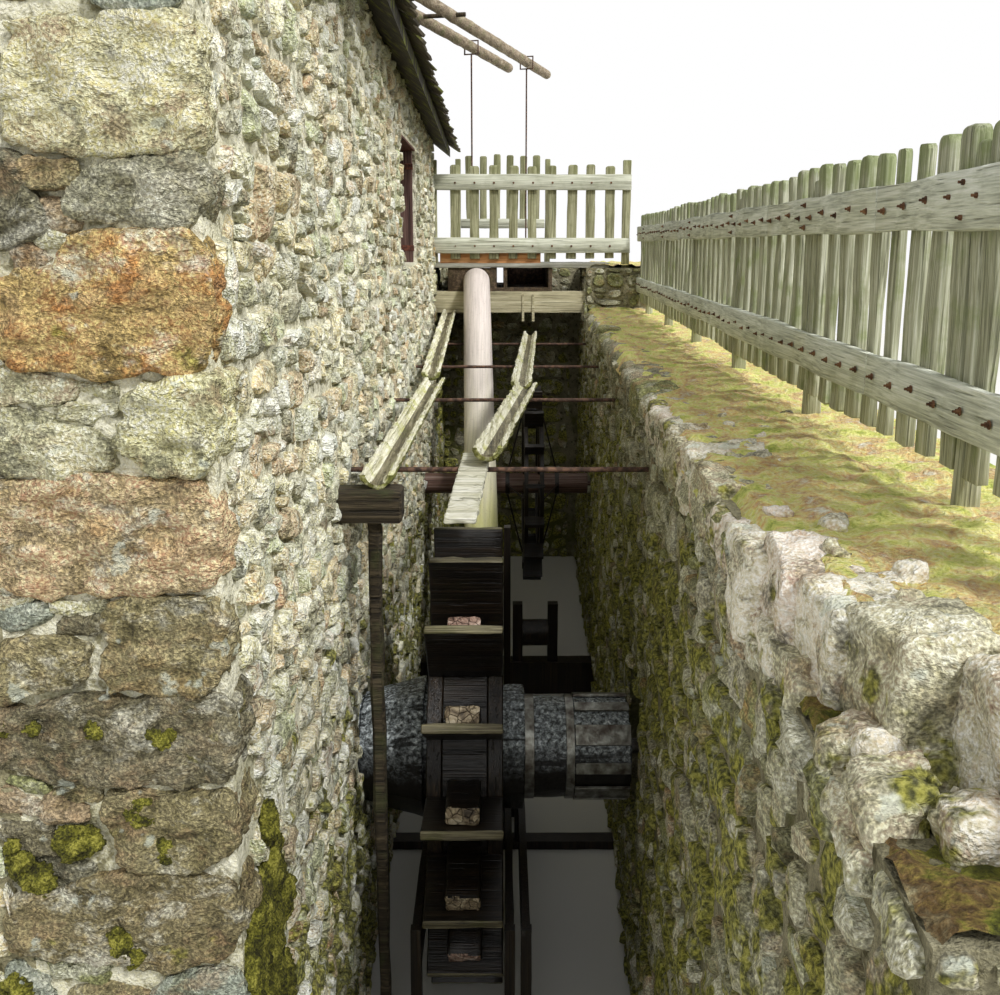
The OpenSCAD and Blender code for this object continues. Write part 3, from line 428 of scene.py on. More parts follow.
def board_wood(name, axis, dark, mid, pale, roughness=0.85, moss="#6b7140", moss_share=0.3, streak=0.006,
               depth=0.006, above=9.0):
    """Sawn boards with the grain along an axis: early and late wood, drying checks and weather streaks.
    Grain 1 to 3 mm wide is drawn at a streak's width. Moss settles on ends above a height."""
    material, add, here = started(name)
    along = add("Mapping", {"Vector": here, "Scale": [1 / 60 if i == axis else 1 for i in range(3)]})
    fibre = add("TexNoise", {"Vector": along, "Scale": 1 / streak, "Detail": 5, "Roughness": 0.6})
    broad = add("Mapping", {"Vector": here, "Scale": [0.04 if i == axis else 1 for i in range(3)]})
    wide = add("TexNoise", {"Vector": broad, "Scale": 25.0, "Detail": 4, "Roughness": 0.6})
    both = add("MixRGB", {"Fac": 0.45, "Color1": fibre, "Color2": wide})
    colour = add("ValToRGB", {"Fac": both}, stops=[(0.37, dark), (0.50, mid), (0.63, pale)])
    split = add("TexNoise", {"Vector": along, "Scale": 0.6 / streak, "Detail": 2})
    check = add("MapRange", {"Value": split, "From Min": 0.37, "From Max": 0.30, "To Max": 0.6})
    colour = add("MixRGB", {"Fac": check, "Color1": colour, "Color2": dark}, blend_type="MULTIPLY")
    patch = add("TexNoise", {"Vector": here, "Scale": 7.0, "Detail": 6, "Roughness": 0.6})
    patch = by_height(add, here, patch, above - 0.12, above + 0.04, 0.22)
    colour = laid(add, colour, moss, patch, 0.52, 0.68, moss_share)
    return finished(material, colour, roughness, add("Math", {0: fibre, 1: check}, operation="SUBTRACT"), depth)


def wet_shaft_painted_light():
    """The shaft's oak under running water: painted blue-grey highlights on top, painted black shade below, long drying
    cracks.
    """
    material, add, here = started("painted_light_shaft_oak")
    ripples = add("TexNoise", {"Vector": here, "Scale": 45.0, "Detail": 8, "Roughness": 0.7, "Distortion": 0.4})
    # Painted highlights: the ripples' high values turn near white, as glints of light on the wet wood.
    painted_glints = add("ValToRGB", {"Fac": ripples}, stops=[
        (0.38, "#262725"), (0.47, "#6a6f70"), (0.55, "#a3abad"), (0.64, "#f2f7f8")])
    along = add("Mapping", {"Vector": here, "Scale": (0.04, 1, 1)})
    cracks = add("TexNoise", {"Vector": along, "Scale": 24.0, "Detail": 4})
    colour = laid(add, painted_glints, "#0f0e0c", cracks, 0.42, 0.34, 0.9)
    # Painted light: faces turned up keep the glinting colour, and faces turned down go near black as painted shade
    # under the shaft.
    up = add("SeparateXYZ", {"Vector": add("NewGeometry", out="Normal")}, out="Z")
    colour = laid(add, "#171410", colour, up, -0.1, 0.5)
    return finished(material, colour, 0.25, ripples, 0.008)


def end_grain():
    """Sawn oak end grain, swollen and cracked from its heart, wet, pinkish or buff from block to block."""
    material, add, here = started("end_grain_oak")
    blotch = add("TexNoise", {"Vector": here, "Scale": 20.0, "Detail": 6, "Roughness": 0.6, "Distortion": 1.0})
    pink = add("ValToRGB", {"Fac": blotch}, stops=[
        (0.34, "#4a382f"), (0.45, "#8f7263"), (0.56, "#b89e8e"), (0.68, "#dccabb")])
    buff = add("ValToRGB", {"Fac": blotch}, stops=[
        (0.34, "#3b3125"), (0.45, "#776852"), (0.56, "#9d8e74"), (0.68, "#c2b69c")])
    which = add("TexNoise", {"Vector": here, "Scale": 2.6, "Detail": 0})
    colour = laid(add, pink, buff, which, 0.47, 0.53)
    cells = add("TexVoronoi", {"Vector": here, "Scale": 26.0}, feature="DISTANCE_TO_EDGE")
    crack = add("MapRange", {"Value": cells, "From Min": 0.05, "From Max": 0.0, "To Max": 0.55})
    colour = add("MixRGB", {"Fac": crack, "Color1": colour, "Color2": "#1a110b"})
    return finished(material, colour, 0.5, add("Math", {0: blotch, 1: crack}, operation="SUBTRACT"), 0.012)


def rusted_iron(name, rough, bright, mid, dark):
    """Forged iron bars rusted brown, with orange bloom and dark pits of a few millimetres."""
    material, add, here = started(name)
    bloom = add("TexNoise", {"Vector": here, "Scale": 33.0, "Detail": 8, "Roughness": 0.6})
    colour = add("ValToRGB", {"Fac": bloom}, stops=[(0.34, dark), (0.5, mid), (0.64, bright)])
    pits = add("TexNoise", {"Vector": here, "Scale": 160.0, "Detail": 4})
    return finished(material, colour, rough, pits, 0.003, 0.2)


def wet_iron():
    """Flat iron bands on the shaft, worn smooth and wet, dull grey with brown edges."""
    material, add, here = started("wet_iron")
    worn = add("TexNoise", {"Vector": here, "Scale": 17.0, "Detail": 6, "Roughness": 0.6})
    colour = add("ValToRGB", {"Fac": worn}, stops=[(0.34, "#3a3129"), (0.5, "#66645b"), (0.66, "#8e8f87")])
    return finished(material, colour, 0.3, worn, 0.004, 0.5)


def stained_pipe():
    """A steel pipe once painted red-brown: chalky pinkish grey above, and algae and lime from the spray below."""
    material, add, here = started("stained_pipe")
    along = add("SeparateXYZ", {"Vector": here}, out="Y")
    drawn = add("Mapping", {"Vector": here, "Scale": (1, 0.1, 0.2)})
    cloud = add("TexNoise", {"Vector": drawn, "Scale": 8.0, "Detail": 6, "Roughness": 0.6})
    ragged = add("Math", {0: cloud, 1: 2.4, 2: along}, operation="MULTIPLY_ADD")
    stretch = add("MapRange", {"Value": ragged, "From Min": 2.2, "From Max": 8.6})
    colour = add("ValToRGB", {"Fac": stretch}, stops=[
        (0.00, "#e9eedd"), (0.18, "#e4e8c8"), (0.36, "#d8d594"), (0.50, "#e4dfc2"), (0.66, "#dfd5ca"),
        (0.82, "#d5cac3"), (1.00, "#cec3bc")])
    chips = add("TexNoise", {"Vector": here, "Scale": 85.0, "Detail": 3})
    colour = laid(add, colour, "#8f6450", chips, 0.62, 0.7, 0.45)
    runs = add("Mapping", {"Vector": here, "Scale": (1, 0.03, 0.04)})
    dirt = add("TexNoise", {"Vector": runs, "Scale": 66.0, "Detail": 3})
    colour = shaded(add, colour, dirt, 0.25, "MULTIPLY", [(0.36, "#8a877c"), (0.6, "#ffffff")])
    return finished(material, colour, 0.5, cloud, 0.003, 0.05)


materials = {
    "rubble": rubble_granite("rubble_granite", RUBBLE_TONES, 1.0, 2.8, 0.9, 0.07),
    # Damp rubble is darker partly as damp stone and partly as painted shade for the bank and dam walls.
    "damp_rubble_painted_shade": rubble_granite("damp_granite_painted_shade", DAMP_SHADED_TONES, 2.4, 3.6, 0.9, 0.04),
    "corner": rubble_granite("corner_granite", CORNER_TONES, 0.4, 1.8, 0.7, 0.085),
    "edge_stone": rubble_granite("bleached_granite", ["#efe9da", "#dfd9c8", "#d2cdb4", "#eae0d4", "#c6c1a8"], 2.4, 3.8,
                                 0.9),
    "mortar": lime_mortar("lime_mortar", "#f4f0d8", "#bdb896", 0.35),
    # The gable's mortar is darker: weathered, and painted shade for its recessed joints.
    "gable_mortar_painted_shade": lime_mortar("weathered_mortar_painted_shade", "#a9a282", "#6c674d", 0.4),
    # Damp mortar is darker partly as damp lime and partly as painted shade for the dam and bank walls.
    "damp_mortar_painted_shade": lime_mortar("damp_mortar_painted_shade", "#9c967c", "#5c583e", 0.9),
    "moss": moss_cover("moss_cover", ["#bcc765", "#e3e487", "#f3eba2", "#ecd092", "#dcbc94", "#f6f2de"]),
    "damp_moss": moss_cover("damp_moss", ["#4b4d20", "#77792f", "#8f7d45", "#6f5738", "#8a7a5a", "#b3ab8c"]),
    "cushion": cushion_moss(),
    "slate": split_slate("split_slate"),
    "upright": board_wood("weathered_larch_upright", 2, "#6f705a", "#a9aa8f", "#d2d3bf", moss="#79884a",
                          moss_share=0.6, above=4.3),
    "lengthwise": board_wood("weathered_larch_rail", 1, "#9fa192", "#d3d6c4", "#f0f1e6", moss_share=0.2),
    "crosswise": board_wood("weathered_larch_cross", 0, "#8c8c7a", "#c3c4b0", "#e2e3d2", moss_share=0.2),
    "bridge_upright": board_wood("bridge_larch_upright", 2, "#5f5c3e", "#918f6e", "#bbb998", moss_share=0.4,
                                 above=4.85),
    "deck": board_wood("deck_larch", 0, "#5f5d53", "#8d8b7e", "#b4b2a7", moss_share=0.2),
    "new_board": board_wood("fresh_larch", 0, "#b1703f", "#d69a64", "#e9b784", 0.7, moss_share=0.0),
    "dark_oak": board_wood("dry_oak_cross", 0, "#1c1812", "#383022", "#5d523f", 0.8, "#474e2a", 0.45, 0.012, 0.012),
    "dark_oak_long": board_wood("dry_oak_long", 1, "#2a221a", "#4d3f2f", "#7b6750", 0.8, "#474e2a", 0.35, 0.01, 0.01),
    "dark_oak_post": board_wood("dry_oak_post", 2, "#1c1812", "#3a3022", "#5d4f3b", 0.8, "#515b25", 0.7, 0.01, 0.01),
    "beam": board_wood("beam_oak", 0, "#8b8468", "#b7ae8e", "#d6cfb0", 0.85, "#656b3e", 0.2, 0.01, 0.008),
    "wet_cross": board_wood("wet_oak_cross", 0, "#080605", "#15100b", "#2a2016", 0.35, "#20230f", 0.2, 0.009, 0.004),
    "wet_round": board_wood("wet_oak_round", 2, "#0a0706", "#1a140e", "#32271b", 0.35, "#20230f", 0.2, 0.009, 0.004),
    "wet_shaft_painted_light": wet_shaft_painted_light(),
    "worn_edge": board_wood("worn_oak_edge", 0, "#2c281c", "#5e5741", "#8f886a", 0.4, "#4f5328", 0.5, 0.007, 0.006),
    "far_shaft": board_wood("far_shaft_oak", 0, "#35241c", "#684b3e", "#978378", 0.4, "#383b22", 0.2, 0.01, 0.008),
    "end_grain": end_grain(),
    "rust": rusted_iron("rusted_iron", 0.8, "#7d5f4d", "#523f35", "#302620"),
    "bolt_rust": rusted_iron("bolt_rust", 0.9, "#94704f", "#6e4e39", "#3f2f24"),
    "dark_rust": rusted_iron("dark_rusted_iron", 0.7, "#84503c", "#5a3429", "#33211b"),
    "wet_iron": wet_iron(),
    "pipe": stained_pipe(),
    "log_rim": board_wood("bleached_log_rim", 1, "#a5a07c", "#e2dec2", "#fbf9ec", 0.75, "#b9bb55", 0.7, 0.012, 0.02),
    # The hollow's dark wet wood is painted shade for the inside of the gutters.
    "painted_shade_log_hollow": board_wood("wet_log_inside_painted_shade", 1, "#2b2618", "#6b634a", "#a8a084", 0.5, "#5b5e2a", 0.5, 0.014, 0.02),
    "log_bark": board_wood("mossy_log_outside", 1, "#4d4a2a", "#8d8c4e", "#b9b694", 0.9, "#6b7030", 0.8, 0.02, 0.02),
    "plank_face": board_wood("bleached_plank", 0, "#8f8c70", "#e0ddc8", "#fbf9ee", 0.75, "#9a9b55", 0.3, 0.016, 0.02),
    "pole": board_wood("peeled_pole", 1, "#5b5141", "#8d7d68", "#b3a791", 0.8, "#6d7844", 0.5, 0.008, 0.005),
    "shutter": board_wood("stained_plank", 2, "#2a1b1a", "#4a3230", "#6c504b", 0.7, "#484b34", 0.1, 0.01, 0.006),
    "window_frame": board_wood("window_frame_oak", 2, "#34221d", "#59403a", "#7c6358", 0.75, "#54573e", 0.1, 0.008,
                               0.005),
    "floor_boards": board_wood("floor_oak", 1, "#574533", "#7b634b", "#9b8163", 0.8, moss_share=0.0),
}


# Masonry: irregular stones in rough courses, each one a copy of a blank that is modelled once

def stone_blank(seed, rings):
    """The visible side of a stone, one unit wide and high: an uneven outline, rounded up to a rough face."""
    draw = random.Random(seed)
    piece = cube("stone", (0, 0, -0.7), (1, 1, 0.3))
    edit(piece, (bpy.ops.mesh.delete, {"type": "FACE"}), part=lambda face: face.normal.z < -0.9)
    points = piece.data.vertices
    edit(piece, (bpy.ops.mesh.bevel, {"offset": 0.26, "segments": len(rings), "profile": 0.5}), kind="EDGE",
         part=lambda edge: abs(points[edge.vertices[0]].co.z - points[edge.vertices[1]].co.z) > 0.5)
    for thickness, rise in rings:
        edit(piece, (bpy.ops.mesh.inset, {"thickness": thickness, "depth": rise}),
             part=lambda face: face.normal.z > 0.9)
    edit(piece, (bpy.ops.mesh.poke, {"offset": 0.03}), part=lambda face: face.normal.z > 0.9)
    place, faces = taken(piece)
    x, y = place[:, 0] - 0.5, place[:, 1] - 0.5
    angle = np.arctan2(y, x)
    waves = [(n, draw.uniform(0, 6.28), draw.uniform(*size)) for n, size in (
        (2, (0.02, 0.09)), (3, (0.03, 0.10)), (5, (0.02, 0.07)))]
    reach = 0.97 - sum(size * (1 + np.sin(n * angle + turn)) for n, turn, size in waves)
    place[:, 0], place[:, 1] = 0.5 + x * reach * 1.07, 0.5 + y * reach * 1.07
    inner = np.abs(np.column_stack([x, y])).max(axis=1) < 0.42
    place[inner, 2] += [draw.uniform(-0.16, 0.14) for _ in range(inner.sum())]
    return place, faces


def broken_up(stone, limit, draw):
    """Breaks a patch of wall into irregular stones, across the longer way more often."""
    a, b, c, d = stone
    wide = ((b - a).length + (c - d).length) / 2
    high = ((d - a).length + (c - b).length) / 2
    if wide * high < limit * draw.uniform(0.35, 2.2) or min(wide, high) < 0.08:
        return [stone]
    first = draw.uniform(0.34, 0.66)
    second = min(0.72, max(0.28, first + draw.uniform(-0.16, 0.16)))
    if wide > high * draw.uniform(0.9, 1.9):
        p, q = a.lerp(b, first), d.lerp(c, second)
        halves = [(a, p, q, d), (p, b, c, q)]
    else:
        p, q = a.lerp(d, first), b.lerp(c, second)
        halves = [(a, b, q, p), (p, q, c, d)]
    return [part for half in halves for part in broken_up(half, limit, draw)]


def rubble_stones(wide, high, limit, draw):
    """The stones of a wall, each as four corners in the wall's plane."""
    beds = [-0.1]
    while beds[-1] < high:
        beds.append(beds[-1] + draw.uniform(0.24, 0.44))
    sway = [[draw.uniform(0, 6.3) for _ in range(2)] for _ in beds]

    def bed(k, u):
        return beds[k] + 0.035 * math.sin(1.9 * u + sway[k][0]) + 0.03 * math.sin(5.1 * u + sway[k][1])

    stones = []
    for k in range(len(beds) - 1):
        foot = head = -draw.uniform(0, 0.5)
        while foot < wide:
            next_foot = foot + draw.uniform(0.35, 0.8)
            next_head = next_foot + draw.uniform(-0.09, 0.09)
            patch = (Vector((foot, bed(k, foot))), Vector((next_foot, bed(k, next_foot))),
                     Vector((next_head, bed(k + 1, next_head))), Vector((head, bed(k + 1, head))))
            stones += broken_up(patch, limit, draw)
            foot, head = next_foot, next_head
    return stones


def fitted(stone, wide, top, holes):
    """A stone cut back to the wall's outline and to the sides of its holes, or None."""
    corners = np.array([list(p) for p in stone])
    for u0, v0, u1, v1 in holes:
        low, high = corners.min(axis=0), corners.max(axis=0)
        if high[0] <= u0 or low[0] >= u1 or high[1] <= v0 or low[1] >= v1:
            continue
        rooms = [(u0 - low[0], 0, "max", u0), (high[0] - u1, 0, "min", u1),
                 (v0 - low[1], 1, "max", v0), (high[1] - v1, 1, "min", v1)]
        spans = (high[1] - low[1], high[0] - low[0])
        room, axis, side, edge = max(rooms, key=lambda r: r[0] * spans[r[1]])
        if room < 0.03:
            return None
        corners[:, axis] = np.minimum(corners[:, axis], edge) if side == "max" else np.maximum(corners[:, axis], edge)
    corners[:, 0] = np.clip(corners[:, 0], 0, wide)
    corners[:, 1] = np.clip(corners[:, 1], 0, [top(u) for u in corners[:, 0]])
    size = corners.max(axis=0) - corners.min(axis=0)
    return corners if min(size) > 0.03 else None


NEAR_RINGS = ((0.07, 0.7), (0.16, 0.18))
FAR_RINGS = ((0.09, 0.75),)


def lay_stones(name, face, wide, top, limit, rings, seed, material, holes=(), proud=(0.006, 0.036),
               joint=0.006, part=None):
    """Lays rubble over a face. The face's matrix turns along, up and out of the wall into the frame."""
    draw = random.Random(seed)
    high = max(top(u) for u in np.linspace(0, wide, 40))
    stones = [s for s in (fitted(q, wide, top, holes) for q in rubble_stones(wide, high, limit, draw)) if s is not None]
    if part:
        stones = [s for s in stones if part[0] <= s[:, 0].mean() < part[1]]
    blanks = [stone_blank(k, rings) for k in range(9)]
    faces = blanks[0][1]
    points = []
    for corners in stones:
        x, y, z = blanks[draw.randrange(len(blanks))][0].T
        if draw.random() < 0.5:
            x, y = 1 - x, 1 - y
        size = corners.max(axis=0) - corners.min(axis=0)
        x = joint / size[0] + (1 - 2 * joint / size[0]) * x
        y = joint / size[1] + (1 - 2 * joint / size[1]) * y
        a, b, c, d = corners
        flat = (np.outer((1 - x) * (1 - y), a) + np.outer(x * (1 - y), b) + np.outer(x * y, c)
                + np.outer((1 - x) * y, d))
        tilt = draw.uniform(-0.025, 0.025) * (x - 0.5) + draw.uniform(-0.022, 0.022) * (y - 0.5)
        points.append(np.column_stack([flat, draw.uniform(*proud) * z + (z > 0) * tilt]))
    points = np.array(points) @ np.array(face.to_3x3()).T + np.array(face.translation)
    piece = repeated(name, points, faces)
    corners = points.shape[1]
    toned(piece, tone=np.repeat([draw.random() for _ in stones], corners),
          stain=np.repeat([max(0, draw.uniform(-1.5, 0.6)) for _ in stones], corners))
    wear(piece, 0.026 if len(rings) > 1 else 0.016, 0.05)
    if len(rings) > 1:
        wear(piece, 0.02, 0.07, form="VORONOI")
    smooth(piece, 32)
    paint(piece, materials[material])
    return keep(piece, "root")


def face_of(origin, along, out):
    along, out = Vector(along), Vector(out)
    up = Vector((0, 0, 1))
    return Matrix.Translation(origin) @ Matrix((along, up, out)).transposed().to_4x4()


def eave_line(y):
    """Height of the roof's underside over the race face, at a place along the mill."""
    return EAVE_H - (y - FRONT_Y) * math.tan(math.radians(ROOF_FALL))


def gable_top(y):
    middle = MILL_W / 2
    return lambda u: eave_line(y) + (middle - abs(u - middle)) * math.tan(math.radians(ROOF_PITCH)) - 0.03


# The stones of a corner: tone, depth along the side wall, rust stain, and the outline on the gable as the
# distance from the arris and the height
CORNER_STONES = [
    (0, 0.10, 0.10, [(0.437, 4.525), (0.329, 4.53), (0.232, 4.529), (0.133, 4.546), (0.02, 4.546), (-0.012, 4.52),
                     (-0.008, 4.395), (-0.012, 4.257), (0.025, 4.232), (0.125, 4.228), (0.233, 4.222), (0.333, 4.224),
                     (0.387, 4.219), (0.419, 4.25), (0.459, 4.272), (0.455, 4.395)]),
    (9, 0, 0, [(0.576, 4.25), (0.501, 4.235), (0.443, 4.198), (0.421, 4.146), (0.392, 4.071), (0.388, 4.03),
               (0.46, 4.01), (0.526, 3.98), (0.606, 3.965)]),
    (9, 0, 0, [(0.6, 4.53), (0.475, 4.523), (0.472, 4.431), (0.475, 4.338), (0.5, 4.28), (0.6, 4.27)]),
    (5, 0, 0.2, [(0.432, 4.191), (0.404, 4.207), (0.35, 4.202), (0.296, 4.198), (0.289, 4.18), (0.312, 4.146),
                 (0.363, 4.137), (0.41, 4.139), (0.431, 4.161)]),
    (1, 0.17, 0.05, [(0.321, 4.131), (0.296, 4.161), (0.235, 4.191), (0.142, 4.198), (0.02, 4.21), (-0.012, 4.169),
                     (-0.012, 4.109), (0.02, 4.052), (0.067, 4.042), (0.168, 4.055), (0.245, 4.064), (0.306, 4.085),
                     (0.323, 4.109)]),
    (10, 0, 0, [(0.407, 4.101), (0.358, 4.109), (0.319, 4.064), (0.329, 4.037), (0.387, 4.047)]),
    (8, 0, 0, [(0.413, 4.03), (0.376, 4.037), (0.319, 4.018), (0.332, 3.999), (0.391, 3.995), (0.42, 4.003)]),
    (10, 0, 0.3, [(0.474, 3.988), (0.43, 4.003), (0.374, 3.965), (0.419, 3.949), (0.471, 3.935)]),
    (2, 0.08, 1.0, [(0.611, 3.911), (0.5, 3.922), (0.443, 3.941), (0.372, 3.949), (0.32, 4.01), (0.256, 4.03),
                    (0.138, 4.033), (0.045, 4.037), (0.0, 3.995), (-0.018, 3.911), (-0.02, 3.785), (0.0, 3.714),
                    (0.058, 3.678), (0.178, 3.678), (0.275, 3.678), (0.394, 3.69), (0.473, 3.698), (0.55, 3.738),
                    (0.628, 3.754)]),
    (8, 0, 0.1, [(0.62, 3.69), (0.514, 3.694), (0.435, 3.678), (0.348, 3.662), (0.348, 3.618), (0.402, 3.601),
                 (0.498, 3.6), (0.62, 3.593)]),
    (8, 0, 0, [(0.34, 3.662), (0.277, 3.654), (0.244, 3.634), (0.28, 3.614), (0.315, 3.624)]),
    (8, 0, 0, [(0.395, 3.589), (0.337, 3.601), (0.24, 3.597), (0.249, 3.573), (0.317, 3.554), (0.377, 3.557)]),
    (8, 0, 0, [(0.582, 3.569), (0.499, 3.589), (0.42, 3.569), (0.422, 3.548), (0.507, 3.512), (0.572, 3.512)]),
    (8, 0, 0.1, [(0.554, 3.445), (0.515, 3.512), (0.431, 3.544), (0.318, 3.536), (0.273, 3.487), (0.248, 3.441),
                 (0.302, 3.429), (0.401, 3.416), (0.508, 3.41), (0.547, 3.425)]),
    (3, 0.20, 0.0, [(0.176, 3.658), (0.058, 3.67), (-0.01, 3.67), (-0.018, 3.62), (-0.018, 3.54), (-0.002, 3.462),
                    (0.04, 3.429), (0.123, 3.42), (0.195, 3.437), (0.244, 3.495), (0.213, 3.585)]),
    (4, 0.09, 0.35, [(0.665, 3.39), (0.485, 3.395), (0.32, 3.407), (0.173, 3.395), (0.04, 3.385), (-0.005, 3.332),
                     (-0.012, 3.255), (0.0, 3.143), (0.06, 3.104), (0.194, 3.095), (0.319, 3.1), (0.446, 3.087),
                     (0.544, 3.108), (0.65, 3.126)]),
    (8, 0, 0, [(0.65, 3.1), (0.579, 3.098), (0.509, 3.078), (0.548, 3.063), (0.616, 3.054), (0.65, 3.056)]),
    (11, 0, 0, [(0.651, 3.043), (0.549, 3.058), (0.481, 3.066), (0.463, 3.034), (0.487, 2.994), (0.556, 2.983),
                (0.64, 2.981)]),
    (8, 0, 0, [(0.449, 3.069), (0.346, 3.08), (0.309, 3.069), (0.332, 3.036), (0.417, 3.028), (0.451, 3.038)]),
    (6, 0, 0, [(0.453, 2.998), (0.413, 3.028), (0.324, 3.028), (0.324, 2.985), (0.388, 2.976), (0.446, 2.978)]),
    (5, 0, 0.1, [(0.66, 2.914), (0.593, 2.95), (0.514, 2.976), (0.439, 2.967), (0.365, 2.945), (0.385, 2.9),
                 (0.362, 2.869), (0.416, 2.833), (0.52, 2.813), (0.609, 2.782), (0.66, 2.787)]),
    (5, 0.12, 0.15, [(0.315, 3.038), (0.263, 3.069), (0.162, 3.073), (0.03, 3.08), (-0.008, 3.012), (-0.012, 2.914),
                     (0.01, 2.851), (0.09, 2.814), (0.213, 2.813), (0.306, 2.823), (0.336, 2.878), (0.314, 2.95)]),
    (6, 0.17, 0.1, [(0.66, 2.76), (0.576, 2.769), (0.454, 2.787), (0.325, 2.796), (0.18, 2.796), (0.03, 2.803),
                    (-0.014, 2.769), (-0.014, 2.649), (0.02, 2.546), (0.128, 2.527), (0.257, 2.541), (0.361, 2.546),
                    (0.492, 2.55), (0.593, 2.579), (0.66, 2.588)]),
    (12, 0, 0, [(0.62, 2.574), (0.535, 2.55), (0.507, 2.522), (0.574, 2.508), (0.614, 2.541)]),
    (10, 0, 0, [(0.66, 2.517), (0.624, 2.531), (0.549, 2.489), (0.544, 2.45), (0.606, 2.439), (0.66, 2.47)]),
    (5, 0, 0.2, [(0.495, 2.508), (0.423, 2.541), (0.363, 2.522), (0.375, 2.479), (0.445, 2.479)]),
    (10, 0, 0.2, [(0.523, 2.489), (0.479, 2.498), (0.403, 2.465), (0.414, 2.431), (0.493, 2.426), (0.527, 2.446)]),
    (6, 0, 0, [(0.66, 2.422), (0.625, 2.431), (0.529, 2.417), (0.49, 2.364), (0.502, 2.32), (0.66, 2.315)]),
    (9, 0, 0, [(0.619, 2.301), (0.503, 2.31), (0.408, 2.286), (0.421, 2.237), (0.504, 2.197), (0.601, 2.207),
               (0.633, 2.252)]),
    (5, 0.20, 0, [(0.35, 2.515), (0.241, 2.518), (0.12, 2.512), (0.015, 2.515), (-0.012, 2.431), (0.01, 2.335),
                  (0.1, 2.291), (0.231, 2.286), (0.309, 2.31), (0.342, 2.402), (0.354, 2.47)]),
    (7, 0.14, 0.1, [(0.66, 2.19), (0.592, 2.207), (0.411, 2.247), (0.25, 2.261), (0.08, 2.266), (-0.005, 2.227),
                    (-0.014, 2.118), (0.04, 2.017), (0.161, 1.966), (0.27, 1.961), (0.395, 1.991), (0.521, 1.991),
                    (0.66, 2.017)]),
    (12, 0, 0, [(0.62, 1.996), (0.522, 1.986), (0.399, 1.94), (0.409, 1.915), (0.525, 1.935)]),
    (12, 0, 0, [(0.485, 1.991), (0.396, 1.976), (0.379, 1.956), (0.435, 1.945)]),
    (11, 0, 0, [(0.66, 1.986), (0.62, 1.965), (0.571, 1.92), (0.537, 1.811), (0.638, 1.706), (0.66, 1.706)]),
    (11, 0.18, 0, [(0.218, 1.925), (0.126, 1.945), (0.03, 1.95), (-0.012, 1.9), (-0.014, 1.79), (0.04, 1.70),
                   (0.214, 1.706), (0.261, 1.832)]),
    (5, 0, 0, [(0.504, 1.873), (0.411, 1.894), (0.276, 1.873), (0.292, 1.769), (0.424, 1.727), (0.52, 1.79)])]
CORNER_W, FRONT_CORNER_H, BACK_CORNER_H = 0.64, 5.3, 5.05
# The drawn stones repeat above and below at this height
CORNER_REPEAT = 2.85
# Cushions of moss: distance from the arris, height, half width and half height
CORNER_MOSS = [(0.204, 2.69, 0.092, 0.034), (0.371, 2.704, 0.022, 0.024), (0.536, 2.715, 0.031, 0.02),
               (0.62, 2.714, 0.031, 0.03), (0.25, 2.46, 0.049, 0.042), (0.187, 2.349, 0.06, 0.034),
               (0.445, 2.369, 0.083, 0.055), (0.619, 2.349, 0.025, 0.019), (0.601, 2.305, 0.049, 0.04),
               (0.552, 2.256, 0.057, 0.05), (0.349, 2.062, 0.042, 0.036), (0.304, 2.005, 0.032, 0.026),
               (0.648, 1.894, 0.041, 0.05)]


def corner_course(top):
    """The drawn stones that stand in a corner up to a height: number, depth along the side, foot, head and lift."""
    course = []
    for lift in (-CORNER_REPEAT, 0, CORNER_REPEAT):
        for number, (_, side, _, outline) in enumerate(CORNER_STONES):
            foot, head = (limit(z for _, z in outline) + lift for limit in (min, max))
            if foot > -0.1 and head < top:
                course.append((number, side, foot, head, lift))
    return course


def split_block(outline, side, proud, voxel):
    """A rough block: its outline filled, drawn back into the wall, and its edges rounded off."""
    middle = sum((Vector(place) for place in outline), Vector((0, 0))) / len(outline)
    bpy.ops.object.select_all(action="DESELECT")
    bpy.ops.mesh.primitive_circle_add(vertices=len(outline), radius=1, fill_type="NGON")
    piece = bpy.context.object
    for vertex, place in zip(piece.data.vertices, outline):
        # Rounding takes off this much again
        u, z = Vector(place) + (Vector(place) - middle).normalized() * 0.010
        vertex.co = (-u, -proud, max(z, 0.004))
    edit(piece, (bpy.ops.mesh.extrude_region_move, {"TRANSFORM_OT_translate": {"value": (0, side + proud, 0)}}))
    edit(piece, (bpy.ops.mesh.normals_make_consistent, {"inside": False}))
    modify(piece, "REMESH", mode="VOXEL", voxel_size=voxel)
    modify(piece, "SMOOTH", factor=0.5, iterations=4 if side else 2)
    buried = lambda face: face.center.y > 0.04 and face.center.x < -0.04
    return edit(piece, (bpy.ops.mesh.delete, {"type": "FACE"}), part=buried)


def corner_blocks(voxel):
    """Each of the drawn stones, once."""
    draw = random.Random(21)
    blocks = []
    for tone, side, stain, outline in CORNER_STONES:
        small = len(outline) < 9 and not side
        out = draw.uniform(0.012, 0.022) if small else draw.uniform(0.034, 0.046)
        block = split_block(outline, side or 0.06, out, voxel)
        blocks.append(toned(block, tone=(tone + 0.5) / len(CORNER_TONES), stain=stain))
    return blocks


